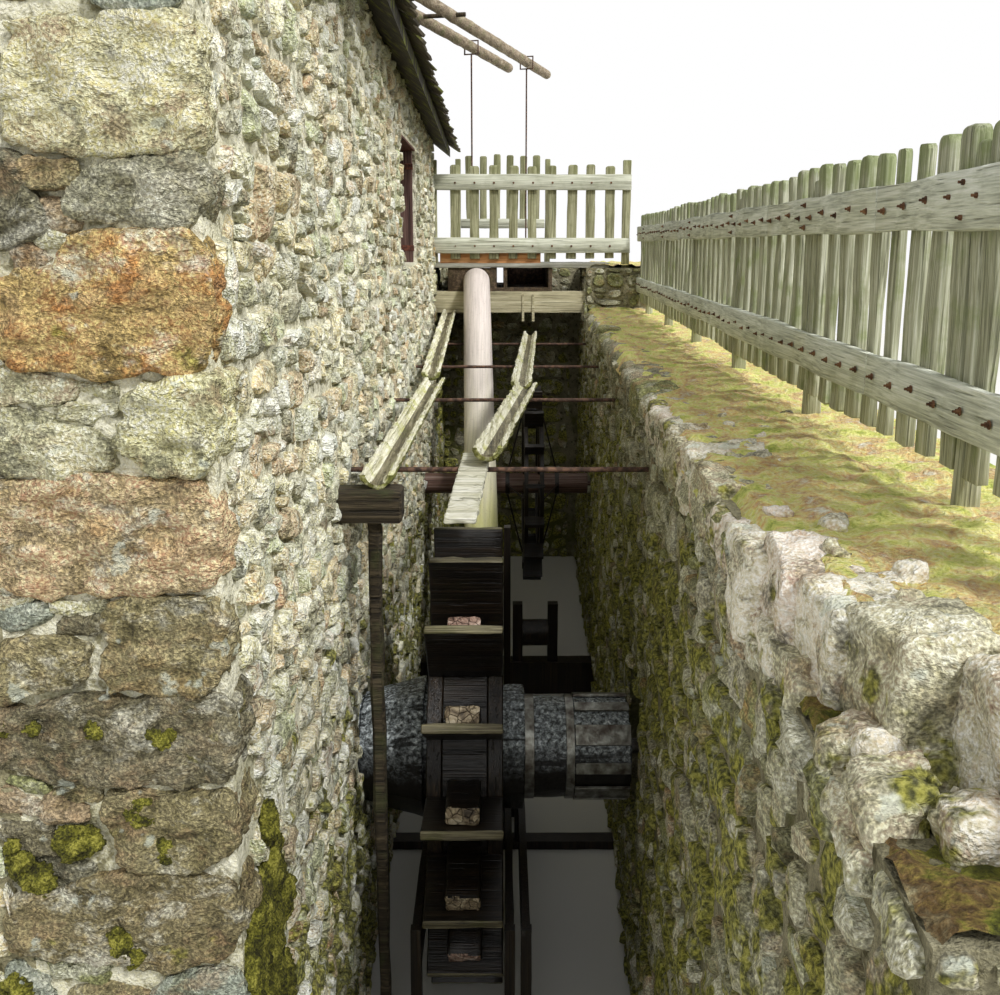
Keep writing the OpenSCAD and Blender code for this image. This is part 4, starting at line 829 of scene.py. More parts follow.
def corner_stones(name, place, blocks, top):
    """A corner of the drawn stones, whose matrix puts the arris in the frame and turns the gable side to face out."""
    parts = []
    for number, _, _, _, lift in corner_course(top):
        parts.append(placed(linked(name, blocks[number].data.copy()), Matrix.Translation((0, 0, lift))))
    piece = joined(name, parts)
    for vertex in piece.data.vertices:
        vertex.co.z = max(vertex.co.z, 0.004)
    placed(piece, Matrix.Diagonal((1, 1, 2.2, 1)))
    wear(piece, 0.036, 0.13)
    wear(piece, 0.022, 0.07, form="VORONOI")
    placed(piece, Matrix.Diagonal((1, 1, 1 / 2.2, 1)))
    wear(piece, 0.036, 0.10, form="VORONOI")
    wear(piece, 0.018, 0.035)
    placed(piece, place)
    if place.determinant() < 0:
        edit(piece, (bpy.ops.mesh.flip_normals, {}))
    smooth(piece, 180)
    paint(piece, materials["corner"])
    return keep(piece, "root")


def corner_holes(wide, top, mirrored):
    """Where the corner stones stand on a side wall, so that the rubble stops beside them."""
    spots = [(side + 0.01, foot - 0.005, head + 0.005) for _, side, foot, head, _ in corner_course(top) if side]
    return [(0, foot, deep, head) if mirrored else (wide - deep, foot, wide, head) for deep, foot, head in spots]


def cushions(name, places, material):
    """Cushions of moss or rough lumps, each as its matrix, from a ball with a broken surface."""
    bpy.ops.object.select_all(action="DESELECT")
    bpy.ops.mesh.primitive_ico_sphere_add(subdivisions=4, radius=1)
    ball = bpy.context.object
    ball.name = name
    piece = copies(ball, places)
    wear(piece, 0.05, 0.035)
    wear(piece, 0.024, 0.010)
    smooth(piece, 180)
    paint(piece, materials[material])
    return keep(piece, "root")


def mill_corners():
    for voxel, corners in ((0.013, (("front_race_corner", FACE_X, FRONT_Y, FRONT_CORNER_H),)),
                           (0.03, (("front_rear_corner", REAR_X, FRONT_Y, FRONT_CORNER_H),
                                   ("back_race_corner", FACE_X, BACK_Y, BACK_CORNER_H),
                                   ("back_rear_corner", REAR_X, BACK_Y, BACK_CORNER_H)))):
        blocks = corner_blocks(voxel)
        for name, x, y, top in corners:
            turn = Matrix.Diagonal((1 if x == FACE_X else -1, 1 if y == FRONT_Y else -1, 1, 1))
            corner_stones(name, Matrix.Translation((x, y, 0)) @ turn, blocks, top)
        for block in blocks:
            bpy.data.objects.remove(block)
    draw = random.Random(22)
    places = []
    for u, z, half_wide, half_high in CORNER_MOSS:
        for _ in range(max(1, round(half_wide / half_high))):
            spot = (FACE_X - u + draw.uniform(-0.5, 0.5) * max(0, half_wide - half_high), FRONT_Y - 0.026, z)
            places.append(Matrix.Translation(spot) @ Matrix.Rotation(draw.uniform(0, 3), 4, "Y")
                          @ Matrix.Diagonal((half_high * draw.uniform(0.9, 1.3), 0.024, half_high, 1)))
    for y, z, half in ((-2.52, 2.07, 0.10), (-2.72, 2.06, 0.09), (-2.6, 1.92, 0.13), (-2.78, 1.93, 0.09),
                       (-2.59, 1.76, 0.12), (-2.79, 1.8, 0.09), (-2.4, 1.9, 0.08), (-2.56, 2.24, 0.06),
                       (-2.7, 1.64, 0.11), (-2.45, 1.6, 0.1)):
        places.append(Matrix.Translation((FACE_X + 0.02, y, z)) @ Matrix.Diagonal((0.035, half, half * 1.2, 1)))
    cushions("corner_moss", places, "cushion")


def mill_masonry():
    window = (WINDOW_Y - FRONT_Y, SILL_H - 0.02, WINDOW_Y - FRONT_Y + WINDOW_W, SILL_H + WINDOW_H + 0.03)
    shafts = [(-FRONT_Y - 0.34, 0.98, -FRONT_Y + 0.34, 1.66), (FAR_WHEEL.y - FRONT_Y - 0.16, 1.56,
                                                               FAR_WHEEL.y - FRONT_Y + 0.16, 1.89)]
    race = face_of((FACE_X, FRONT_Y, 0), (0, 1, 0), (1, 0, 0))
    race_holes = [window] + shafts
    race_holes += corner_holes(MILL_L, FRONT_CORNER_H, True) + corner_holes(MILL_L, BACK_CORNER_H, False)
    race_top = lambda u: eave_line(FRONT_Y + u) - 0.02
    for name, rings, part in (("race_stones_near", NEAR_RINGS, (0, 3.4)), ("race_stones_far", FAR_RINGS,
                                                                          (3.4, MILL_L))):
        lay_stones(name, race, MILL_L, race_top, 0.021, rings, 11, "rubble", race_holes, part=part)
    middle = MILL_W / 2
    sides = [(0, 0, CORNER_W, FRONT_CORNER_H), (MILL_W - CORNER_W, 0, MILL_W, FRONT_CORNER_H)]
    gable_window = (middle - WINDOW_W / 2, SILL_H, middle + WINDOW_W / 2, SILL_H + WINDOW_H + 0.03)
    front = face_of((REAR_X, FRONT_Y, 0), (1, 0, 0), (0, -1, 0))
    lay_stones("front_stones", front, MILL_W, gable_top(FRONT_Y), 0.034, FAR_RINGS, 12, "rubble",
               [gable_window] + sides)
    back = face_of((FACE_X, BACK_Y, 0), (-1, 0, 0), (0, 1, 0))
    lay_stones("back_stones", back, MILL_W, gable_top(BACK_Y), 0.065, FAR_RINGS, 13, "rubble",
               [gable_window, (0, 0, CORNER_W, DAM_H)] + sides)
    rear = face_of((REAR_X, BACK_Y, 0), (0, -1, 0), (-1, 0, 0))
    lintel = SILL_H + WINDOW_H + 0.03
    rear_holes = [(REAR_WINDOW_Y, SILL_H, REAR_WINDOW_Y + WINDOW_W, lintel),
                  (MILL_L - REAR_WINDOW_Y - WINDOW_W, SILL_H, MILL_L - REAR_WINDOW_Y, lintel),
                  (MILL_L / 2 - 0.55, 2.12, MILL_L / 2 + 0.55, 4.1)]
    rear_holes += corner_holes(MILL_L, BACK_CORNER_H, True) + corner_holes(MILL_L, FRONT_CORNER_H, False)
    lay_stones("rear_stones", rear, MILL_L, lambda u: eave_line(BACK_Y - u) - 0.02, 0.07, FAR_RINGS, 14, "rubble",
               rear_holes)


def bank_masonry():
    def bank(origin, along, out):
        return RIGHT_BANK @ face_of(origin, along, out)

    length = END_Y + RETAINING_FRONT
    niches = [(END_Y - 0.36, 0.99, END_Y + 0.36, 1.7), (END_Y - FAR_WHEEL.y - 0.24, 1.52,
                                                        END_Y - FAR_WHEEL.y + 0.24, 1.99)]
    raised = FENCE_END + 0.01
    wide = DAM_HIGH.x - FACE_X - 0.35
    flume_low, flume_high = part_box("flume")
    channel = (flume_low.x - FACE_X, flume_low.z, flume_high.x - FACE_X, DAM_H)
    channel_behind = (wide - channel[2], channel[1], wide - channel[0], DAM_H)
    left_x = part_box("left_abutment")[0].x

    def race_top(u):
        back = END_Y - u
        return DAM_H if back > raised else RETAINING_H if back > BROKEN_END else LEDGE_H

    def outer_top(u):
        return DAM_H if u - RETAINING_FRONT > raised else RETAINING_H

    def dam_top(u):
        return DAM_H

    race = bank((0, END_Y, 0), (0, -1, 0), (-1, 0, 0))
    # These walls take the damp rubble, which is darker partly as painted shade.
    for name, face, across, top, limit, rings, seed, holes, part in (
            ("bank_stones_far", race, length, race_top, 0.038, FAR_RINGS, 31, niches, (0, END_Y - 0.5)),
            ("bank_stones_near", race, length, race_top, 0.038, NEAR_RINGS, 31, niches, (END_Y - 0.5, length)),
            ("bank_stones_outer", bank((RETAINING_T, -RETAINING_FRONT, 0), (0, 1, 0), (1, 0, 0)), length, outer_top,
             0.08, FAR_RINGS, 32, (), None),
            ("bank_stones_front", bank((0, -RETAINING_FRONT, 0), (1, 0, 0), (0, -1, 0)), RETAINING_T,
             lambda u: RETAINING_H if u > LEDGE_W else LEDGE_H, 0.04, NEAR_RINGS, 33, (), None),
            ("bank_stones_end", bank((RETAINING_T, END_Y, 0), (-1, 0, 0), (0, 1, 0)), RETAINING_T, dam_top, 0.05,
             FAR_RINGS, 34, (), None),
            ("bank_stones_step", bank((0, FENCE_END, 0), (1, 0, 0), (0, -1, 0)), RETAINING_T, dam_top, 0.03,
             FAR_RINGS, 40, [(-1, -1, 2, RETAINING_H)], None),
            ("dam_stones_front", face_of((FACE_X, DAM_LOW.y, 0), (1, 0, 0), (0, -1, 0)), wide, dam_top, 0.05,
             FAR_RINGS, 35, [channel], None),
            ("dam_stones_back", face_of((FACE_X + wide, END_Y, 0), (-1, 0, 0), (0, 1, 0)), wide, dam_top, 0.05,
             FAR_RINGS, 36, [channel_behind], None),
            ("abutment_stones_race", face_of((FACE_X, BACK_Y, 0), (0, 1, 0), (1, 0, 0)), DAM_LOW.y - BACK_Y, dam_top,
             0.04, FAR_RINGS, 37, (), None),
            ("abutment_stones_back", face_of((FACE_X, END_Y, 0), (-1, 0, 0), (0, 1, 0)), FACE_X - left_x, dam_top,
             0.05, FAR_RINGS, 38, (), None),
            ("abutment_stones_outer", face_of((left_x, END_Y, 0), (0, -1, 0), (-1, 0, 0)), END_Y - BACK_Y, dam_top,
             0.05, FAR_RINGS, 39, (), None)):
        lay_stones(name, face, across, top, limit, rings, seed, "damp_rubble_painted_shade", holes, part=part)


def broken_line(y):
    """How far the broken top course stands back from the race face, at a place along the bank wall."""
    return float(np.interp(y, (-RETAINING_FRONT, -3.757, -3.528, BROKEN_END, -2.8), (LEDGE_W, 0.218, 0.079, 0.012, 0)))


def moss_bed(name, left, right, z, y0, y1, counts, sink=0.09):
    """A bed of moss with ragged sides between two lines along the bank wall, which sinks in at both sides."""
    bpy.ops.object.select_all(action="DESELECT")
    bpy.ops.mesh.primitive_grid_add(x_subdivisions=counts[0], y_subdivisions=counts[1], size=1)
    bed = bpy.context.object
    bed.name = bed.data.name = name
    for vertex in bed.data.vertices:
        y = (vertex.co.y + 0.5) * (y1 - y0) + y0
        t = vertex.co.x + 0.5
        drop = sink * max(0, 1 - t * 18) + 0.03 * max(0, 1 - (1 - t) * 18)
        vertex.co = (left(y) + (right(y) - left(y)) * t, y, z - drop)
    placed(bed, RIGHT_BANK)
    wear(bed, 0.07, 0.45, "Z")
    wear(bed, 0.05, 0.09, "Z")
    wear(bed, 0.025, 0.03, "Z")
    return smooth(bed, 180)


def rough_stone(low, high, uneven, voxel, rounding, draw):
    """A broken stone between two corners, of its own tone."""
    stone = cube("stone", low, high)
    edit(stone, (bpy.ops.transform.vertex_random, {"offset": uneven, "seed": draw.randrange(1000)}))
    modify(stone, "REMESH", mode="VOXEL", voxel_size=voxel)
    modify(stone, "SMOOTH", factor=0.5, iterations=rounding)
    return toned(stone, tone=draw.random(), stain=draw.uniform(0, 0.3))


def bank_top():
    """The moss over the bank wall and on the ledge of its broken end, and the rough stones along its race edge."""
    draw = random.Random(42)
    waves = [(draw.uniform(1.5, 11), draw.uniform(0, 6.3), draw.uniform(0.008, 0.026)) for _ in range(7)]

    def ragged(y):
        return sum(size * math.sin(rate * y + turn) for rate, turn, size in waves)

    cover = moss_bed("bank_moss_cover", lambda y: broken_line(y) - 0.015 + 0.4 * ragged(y),
                     lambda y: RETAINING_T - 0.01, RETAINING_H + 0.04, -RETAINING_FRONT, FENCE_END, (30, 300))
    ledge = moss_bed("ledge_moss", lambda y: 0.004, lambda y: broken_line(y) + 0.06, RETAINING_H - 0.195,
                     -RETAINING_FRONT + 0.01, -2.9, (14, 60), 0.02)
    raised = moss_bed("dam_end_moss", lambda y: 0.0, lambda y: RETAINING_T, DAM_H + 0.03, FENCE_END, END_Y, (20, 16))
    for piece, material in ((cover, "moss"), (ledge, "damp_moss"), (raised, "moss")):
        paint(piece, materials[material])
        keep(piece, "root")
    draw = random.Random(41)
    near, far = [], []
    y = -RETAINING_FRONT
    while y < FENCE_END - 0.2:
        broken, close = y < -2.8, y < -0.6
        step = draw.uniform(0.14, 0.28) if broken else draw.uniform(0.2, 0.45)
        edge = min(broken_line(y), broken_line(y + step)) - draw.uniform(0.015, 0.04)
        foot = RETAINING_H - (0.25 if broken else draw.uniform(0.12, 0.2))
        head = RETAINING_H + (draw.uniform(0.03, 0.075) if y < -3.3 else draw.uniform(0.0, 0.05))
        stone = rough_stone((edge, y - 0.02, foot), (edge + draw.uniform(0.16, 0.3), y + step + 0.02, head),
                            0.03, 0.02 if close else 0.04, 3 if close else 1, draw)
        (near if close else far).append(stone)
        y += step
    for _ in range(26):
        y = draw.uniform(-RETAINING_FRONT + 0.08, -2.95)
        x = draw.uniform(0.03, max(0.06, broken_line(y)))
        size = draw.uniform(0.03, 0.075)
        near.append(rough_stone((x - size, y - size * 1.3, RETAINING_H - 0.24),
                                (x + size, y + size, RETAINING_H - 0.24 + size * 1.6), 0.035, 0.018, 3, draw))
    for _ in range(20):
        y = draw.uniform(-RETAINING_FRONT + 0.2, -0.7)
        x = broken_line(y) + 0.1 + draw.random() ** 2 * 0.5
        size = draw.uniform(0.016, 0.032)
        near.append(rough_stone((x - size, y - size * 1.4, RETAINING_H), (x + size, y + size, RETAINING_H + 0.05), 0.02,
                                0.009, 2, draw))
    for name, parts, material in (("bank_edge_stones_near", near, "edge_stone"), ("bank_edge_stones_far", far,
                                                                                  "damp_rubble_painted_shade")):
        edge = placed(joined(name, parts), RIGHT_BANK)
        wear(edge, 0.045, 0.14)
        wear(edge, 0.022, 0.07, form="VORONOI")
        wear(edge, 0.018, 0.03)
        paint(smooth(edge, 180), materials[material])
        keep(edge, "root")


# Roof

def slate_blank(seed):
    """One hand-split slate, a unit wide and long, its tail uneven."""
    piece = cube("slate", (-0.5, -0.5, -0.5), (0.5, 0.5, 0.5))
    slices(piece, 0, 0.34)
    draw = random.Random(seed)
    place, faces = taken(piece)
    for x in sorted(set(np.round(place[:, 0], 3))):
        tail = (np.abs(place[:, 0] - x) < 0.01) & (place[:, 1] < 0)
        place[tail, 1] += draw.uniform(-0.05, 0.07) + (0.10 if abs(x) > 0.4 else 0)
    return place, faces


def slates(name, slope, wide, long, seed):
    """Courses of slates up a slope. The slope's matrix turns along, up the slope and out into the frame."""
    draw = random.Random(seed)
    blanks = [slate_blank(k) for k in range(5)]
    lap, thick, long_slate = 0.145, 0.014, 0.34
    points, tones = [], []
    for row in range(int(long / lap) + 1):
        u = -0.02 - draw.uniform(0, 0.15)
        while u < wide + 0.02:
            width = draw.uniform(0.16, 0.31)
            tail = row * lap - 0.035 + draw.uniform(-0.022, 0.018)
            length = min(long_slate, long - tail + 0.02)
            size = Matrix.Diagonal((width - 0.006, length, thick * draw.uniform(0.7, 1.3), 1))
            lift = math.atan2(thick * 1.9, lap * 2)
            turn = Matrix.Rotation(draw.uniform(-0.03, 0.03), 4, "Z") @ Matrix.Rotation(-lift, 4, "X")
            place = slope @ Matrix.Translation((u + width / 2, tail + length / 2, 0.026 + draw.uniform(0, 0.006)))
            corners = blanks[draw.randrange(5)][0]
            corners = np.column_stack([corners, np.ones(len(corners))]) @ np.array(place @ turn @ size).T
            points.append(corners[:, :3])
            tones.append(draw.random())
            u += width
    points = np.array(points)
    piece = repeated(name, points, blanks[0][1])
    toned(piece, tone=np.repeat(tones, points.shape[1]))
    wear(piece, 0.02, 0.12)
    paint(piece, materials["slate"])
    return keep(piece, "root")


def roof():
    pitch = math.radians(ROOF_PITCH)
    half = MILL_W / 2 + EAVE_OUT
    long = half / math.cos(pitch)
    wide = MILL_L + 2 * GABLE_OUT
    for name, side in (("race_slates", 1), ("rear_slates", -1)):
        out = Vector((side * math.sin(pitch), 0, math.cos(pitch)))
        up = Vector((-side * math.cos(pitch), 0, math.sin(pitch)))
        along = Vector((0, side, 0))
        edge_x = (FACE_X + REAR_X) / 2 + side * half
        foot = Vector((edge_x, -GABLE_OUT if side > 0 else MILL_L + GABLE_OUT, -EAVE_OUT * math.tan(pitch)))
        foot += out * ROOF_T
        slope = ROOF @ Matrix.Translation(foot) @ Matrix((along, up, out)).transposed().to_4x4()
        slates(name, slope, wide, long, 51 + side)
    for node in ("roof_race_slope", "roof_rear_slope"):
        paint(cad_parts[node], materials["slate"])
    cap = dressed("ridge_cap", "ridge_slates", materials["slate"], 0.006, ((1, 0.3),), 0.03, 0.15)
    keep(cap, "root")
    keep(dressed("roof_timbers", "ridge_and_purlins", materials["dark_oak_long"], 0.01, ((1, 0.6),), 0.012, 0.3),
         "root")


# Fences

def picket(name, wide, thick, high):
    """A picket along Z with its top corners worn round."""
    piece = cube(name, (0, 0, 0), (wide, thick, high))
    points = piece.data.vertices

    def top_corner(edge):
        a, b = (points[i].co for i in edge.vertices)
        return min(a.z, b.z) > high - 0.001 and abs(a.y - b.y) > thick / 2

    edit(piece, (bpy.ops.mesh.bevel, {"offset": wide / 4.2, "segments": 3, "profile": 0.5}), kind="EDGE",
         part=top_corner)
    slices(piece, 2, 0.13)
    return soften(piece, 0.004)


def bolt_blank():
    """A nut on a bolt's end over a washer, along -Y."""
    washer = rod("bolt", (0, 0, 0), (0, -0.003, 0), 0.012, 12)
    nut = rod("nut", (0, -0.003, 0), (0, -0.011, 0), 0.008, 6)
    end = rod("end", (0, -0.011, 0), (0, -0.020, 0), 0.004, 8)
    return joined("bolt", [washer, nut, end])


def bolts(places, turn):
    draw = random.Random(61)
    piece = copies(bolt_blank(), [Matrix.Translation(p) @ turn @ Matrix.Rotation(draw.uniform(0, 1), 4, "Y")
                                  for p in places])
    return paint(smooth(piece, 30), materials["bolt_rust"])


def board(low, high, axis, edge, spacing=0.2):
    """A sawn board or post, cut across so that it can bend, with its edges broken."""
    return soften(slices(cube("board", low, high), axis, spacing), edge)


def fence(node, name, parts, bend, heads=(), turn=Matrix(), place=Matrix()):
    """Pickets, rails and posts joined, bent, worn and bolted together, for a node of the frame."""
    wood = joined(name, parts)
    modify(wood, "TRIANGULATE")
    wear(wood, *bend)
    if heads:
        wear(wood, 0.008, 0.05)
        wood = joined(name, [smooth(wood, 50), bolts(heads, turn)])
    else:
        smooth(wood, 50)
    placed(wood, place)
    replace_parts(wood, node)
    return keep(wood, "root")


def race_fence(index):
    """A bay of the bank's fence: two rails on the race side, pickets and a post behind, and their bolts."""
    foot = RETAINING_H + 0.13
    upper_rail = foot + 0.66
    bay = BAY * PITCH
    draw = random.Random(70 + index)
    start = FENCE_END - (index + 1) * bay
    upright = picket("pickets", PICKET_W, PICKET_T, 0.94)
    across = Matrix.Rotation(math.radians(-90), 4, "Z")
    turns = [Matrix.Translation((RAIL_T, start + i * PITCH + (PITCH + PICKET_W) / 2, foot)) @ across
             @ Matrix.Rotation(draw.uniform(-0.012, 0.012), 4, "Y") @ Matrix.Diagonal((
                 draw.uniform(0.9, 1.02), draw.uniform(0.85, 1), draw.uniform(0.975, 1.0), 1)) for i in range(BAY)]
    pickets = paint(copies(upright, turns), materials["upright"])
    rails, heads = [], []
    for z in (foot + 0.115, upper_rail):
        rails.append(board((0, start + 0.002, z), (RAIL_T, start + bay - 0.002, z + RAIL_H), 1, 0.004))
        heads += [(0, start + i * PITCH + PITCH / 2, z + RAIL_H * draw.uniform(0.44, 0.58)) for i in range(BAY)]
    post_y = start + bay / 2 + PITCH / 2
    heads += [(0, post_y, upper_rail + 0.03), (0, post_y, upper_rail + 0.12)]
    post = board((RAIL_T, post_y - 0.03, RETAINING_H), (RAIL_T + 0.07, post_y + 0.03, foot + 0.88), 2, 0.006)
    parts = [pickets, paint(joined("rails", rails), materials["lengthwise"]), paint(post, materials["upright"])]
    fence("race_fence_%d" % (index + 1), "race_fence_boards_%d" % (index + 1), parts, (0.03, 0.6), heads, across,
          RIGHT_BANK @ Matrix.Translation((FENCE_IN, 0, 0)))


def bridge_fence():
    foot = DAM_H + 0.1
    left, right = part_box("bridge_fence")[0].x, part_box("bridge_fence")[1].x
    draw = random.Random(81)
    upright = picket("pickets", PICKET_W, PICKET_T, 1.01)
    starts = [left + 0.24 + i * 0.215 for i in range(9)]
    turns = [Matrix.Translation((x, FENCE_Y, foot)) @ Matrix.Rotation(draw.uniform(-0.012, 0.012), 4, "Y")
             @ Matrix.Diagonal((draw.uniform(0.9, 1.02), 1, draw.uniform(0.98, 1.01), 1)) for x in starts]
    pickets = paint(copies(upright, turns), materials["bridge_upright"])
    rails, heads = [], []
    for z in (foot + 0.062, foot + 0.742):
        rails.append(board((left, FENCE_Y - RAIL_T, z), (right, FENCE_Y, z + RAIL_H + 0.015), 0, 0.005))
        heads += [(x + PICKET_W / 2, FENCE_Y - RAIL_T, z + 0.075) for x in starts]
        heads += [(left + 0.045, FENCE_Y - RAIL_T, z + 0.075)]
    posts = [board((x, FENCE_Y, low), (x + 0.09, FENCE_Y + PICKET_T, foot + 1.06), 2, 0.006)
             for x, low in ((left, DAM_H + 0.05), (right - 0.09, DAM_H))]
    parts = [pickets, paint(joined("rails", rails), materials["crosswise"]),
             paint(joined("posts", posts), materials["bridge_upright"])]
    fence("bridge_fence", "bridge_fence_boards", parts, (0.025, 0.6), heads)


def back_railing():
    low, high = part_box("back_railing")
    foot = DAM_H + 0.45
    rack_y = low.y + RAIL_T
    draw = random.Random(91)
    upright = picket("pickets", 0.086, PICKET_T, 0.89)
    turns = [Matrix.Translation((low.x + 0.13 + i * 0.163, rack_y, foot)) @ Matrix.Rotation(draw.uniform(
        -0.015, 0.015), 4, "Y") @ Matrix.Diagonal((1, 1, draw.uniform(0.96, 1.0), 1)) for i in range(6)]
    pickets = paint(copies(upright, turns), materials["bridge_upright"])
    rail = board((low.x + 0.06, low.y, foot), (high.x - 0.06, rack_y, foot + 0.115), 0, 0.005)
    posts = [board((x, low.y, DAM_H), (x + 0.06, rack_y + PICKET_T, foot + 0.82), 2, 0.005)
             for x in (low.x, high.x - 0.06)]
    parts = [pickets, paint(rail, materials["crosswise"]), paint(joined("posts", posts), materials["bridge_upright"])]
    fence("back_railing", "back_railing_boards", parts, (0.02, 0.5))


# Wheels

def around(centre, count, phase):
    """The turns of a wheel's pieces, of which the first is made level and towards the front."""
    return [Matrix.Translation(centre) @ Matrix.Rotation(-math.radians(phase + i * 360 / count), 4, "X")
            for i in range(count)]


def outer_faces(piece, radius, centre, index):
    """Gives the faces at the wheel's rim another of the piece's materials."""
    for face in piece.data.polygons:
        away = Vector((0, face.center.y - centre.y, face.center.z - centre.z))
        if away.length > radius - 0.012 and face.normal.dot(away.normalized()) > 0.5:
            face.material_index = index


def near_wheel():
    board = cube("near_paddle_boards", (-WHEEL_W / 2, -WHEEL_R, -PADDLE_T / 2), (WHEEL_W / 2, -RIM_R, PADDLE_T / 2))
    slices(slices(board, 0, 0.06), 1, 0.1)
    soften(board, 0.006)
    boards = copies(board, around(WHEEL, PADDLES, PHASE))
    wear(boards, 0.016, 0.07)
    paint(boards, materials["wet_cross"], materials["worn_edge"])
    outer_faces(boards, WHEEL_R, WHEEL, 1)
    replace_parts(smooth(boards), "near_paddles")
    keep(boards, "near_wheel")

    start = cube("near_start_blocks", (-0.08, -WHEEL_R + START_IN, PADDLE_T / 2), (0.08, -RIM_R, 0.1075))
    edit(start, (bpy.ops.mesh.bevel, {"offset": 0.012, "segments": 2}))
    slices(slices(slices(start, 0, 0.03), 1, 0.08), 2, 0.03)
    starts = copies(start, around(WHEEL, PADDLES, PHASE))
    wear(starts, 0.022, 0.05)
    paint(starts, materials["wet_cross"], materials["end_grain"])
    outer_faces(starts, WHEEL_R - START_IN, WHEEL, 1)
    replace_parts(smooth(starts), "near_starts")
    keep(starts, "near_wheel")

    for node, name, material, slot in (("near_rims", "near_rim_wood", "wet_round", "wet_oak"),
                                       ("near_sole", "near_sole_boards", "wet_cross", "wet_oak")):
        keep(dressed(node, name, materials[material], 0.005, ((0, 0.06), (1, 0.12), (2, 0.12)), 0.008, 0.08),
             "near_wheel")
    log = dressed("near_shaft", "near_shaft_log", materials["wet_shaft_painted_light"], 0.008, ((0, 0.05),), 0.02, 0.09)
    keep(log, "near_wheel")
    irons = dressed("near_shaft_irons", "near_shaft_bands", materials["wet_iron"], 0.002, ((0, 0.08),), 0.003, 0.04)
    keep(irons, "near_wheel")


def far_wheel():
    for node, name, material, slot in (("far_paddles", "far_paddle_boards", "wet_cross", "wet_oak"),
                                       ("far_rims", "far_rim_wood", "wet_round", "wet_oak"),
                                       ("far_shaft", "far_shaft_log", "far_shaft", "wet_oak")):
        keep(dressed(node, name, materials[material], 0.003, ((0, 0.1),), 0.004, 0.08), "far_wheel")


# Water lines and timbers

def gutters(node, name):
    """Half logs hollowed by hand: bark and moss outside, wet wood with painted shade deep in the hollow, bleached along
    the rims.
    """
    def painted_shade_by_depth(piece):
        rims = {}
        for vertex in piece.data.vertices:
            place = round(vertex.co.y / 0.06)
            rims[place] = max(rims.get(place, -9), vertex.co.z)
        for face in piece.data.polygons:
            deep = rims.get(round(face.center.y / 0.06), face.center.z) - face.center.z
            # Faces more than 4 cm below the rim take the dark hollow finish, as painted shade inside the gutter; faces
            # turned sideways or down take bark.
            face.material_index = 0 if face.normal.z < 0.1 else 1 if deep > 0.04 else 2

    finishes = (materials["log_bark"], materials["painted_shade_log_hollow"], materials["log_rim"])
    return keep(dressed(node, name, finishes, 0.006, ((0, 0.035), (1, 0.05)), 0.030, 0.05, painted_shade_by_depth), "root")


def water_lines():
    gutters("right_gutters", "right_log_gutters")
    gutters("left_gutters", "left_log_gutters")
    plank = dressed("gutter_plank", "gutter_plank_board", materials["plank_face"], 0.006, ((0, 0.03), (1, 0.03)),
                    0.02, 0.04)
    keep(plank, "root")
    for node, name, material, slot, bevel, depth in (
            ("gutter_bracket", "gutter_bracket_beam", "dark_oak", "old_oak", 0.012, 0.03),
            ("cross_beam", "cross_beam_oak", "beam", "weathered_wood", 0.006, 0.02),
            ("footbridge_deck", "footbridge_boards", "deck", "weathered_wood", 0.004, 0.012),
            ("edge_board", "edge_board_larch", "new_board", "new_board", 0.003, 0.004),
            ("flume", "flume_boards", "dark_oak_long", "old_oak", 0.002, 0.006),
            ("race_timbers", "race_boards_and_sill", "wet_round", "wet_oak", 0.004, 0.012),
            ("lever_mast", "lever_mast_oak", "dark_oak_post", "old_oak", 0.004, 0.006),
            ("shaft_bearings", "bearing_blocks", "dark_oak", "old_oak", 0.008, 0.008),
            ("tie_rods", "tie_rod_irons", "rust", "rusty_iron", 0, 0.004)):
        keep(dressed(node, name, materials[material], bevel, ((0, 0.12), (1, 0.2), (2, 0.2)), depth, 0.1), "root")
    for node, body in (("gate_a", "first_gate"), ("gate_b", "second_gate")):
        keep(dressed(node, node + "_iron", materials["rust"], 0.002, ((2, 0.2),), 0.003, 0.05), body)
    for node, body in (("lever_a", "first_lever"), ("lever_b", "second_lever")):
        keep(dressed(node, node + "_pole", materials["pole"], 0.004, ((1, 0.12),), 0.016, 0.12), body)
    paint(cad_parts["penstock_pipe"], materials["pipe"])


# Shutters and door

def shutter(name, place, wide, high, framed=True):
    """Upright planks with two iron straps, under an iron lintel plate. Out of the hole is along +X."""
    parts = []
    count = round(wide / 0.19)
    for i in range(count):
        plank = cube("plank", (-0.05, i * wide / count + 0.002, 0), (-0.006 * (i % 2), (i + 1) * wide / count - 0.002,
                                                                      high))
        parts.append(soften(slices(plank, 2, 0.25), 0.004))
    posts = [soften(slices(cube("frame", (0, y, 0), (SHUTTER_IN - FRAME_IN, y + FRAME_T, high)), 2, 0.25), 0.004)
             for y in (0, wide - FRAME_T) if framed]
    irons = [soften(cube("strap", (0, 0.03, z - 0.025), (0.008, wide - 0.03, z + 0.025)), 0.002)
             for z in (high * 0.13, high * 0.86)]
    irons += [soften(cube("strap", (0, y, z - 0.025), (SHUTTER_IN - FRAME_IN + 0.006, y + FRAME_T + 0.004, z + 0.025)),
                     0.002) for y in (0, wide - FRAME_T - 0.004) for z in (high * 0.13, high * 0.86) if framed]
    irons.append(soften(cube("lintel", (-0.45, 0, high), (SHUTTER_IN, wide, high + 0.018)), 0.002))
    pieces = [paint(joined("planks", parts), materials["shutter"]), paint(joined("irons", irons),
                                                                       materials["dark_rust"])]
    if framed:
        pieces.append(paint(joined("posts", posts), materials["window_frame"]))
    piece = joined(name, pieces)
    modify(piece, "TRIANGULATE")
    wear(piece, 0.006, 0.08)
    smooth(piece)
    return placed(piece, place)


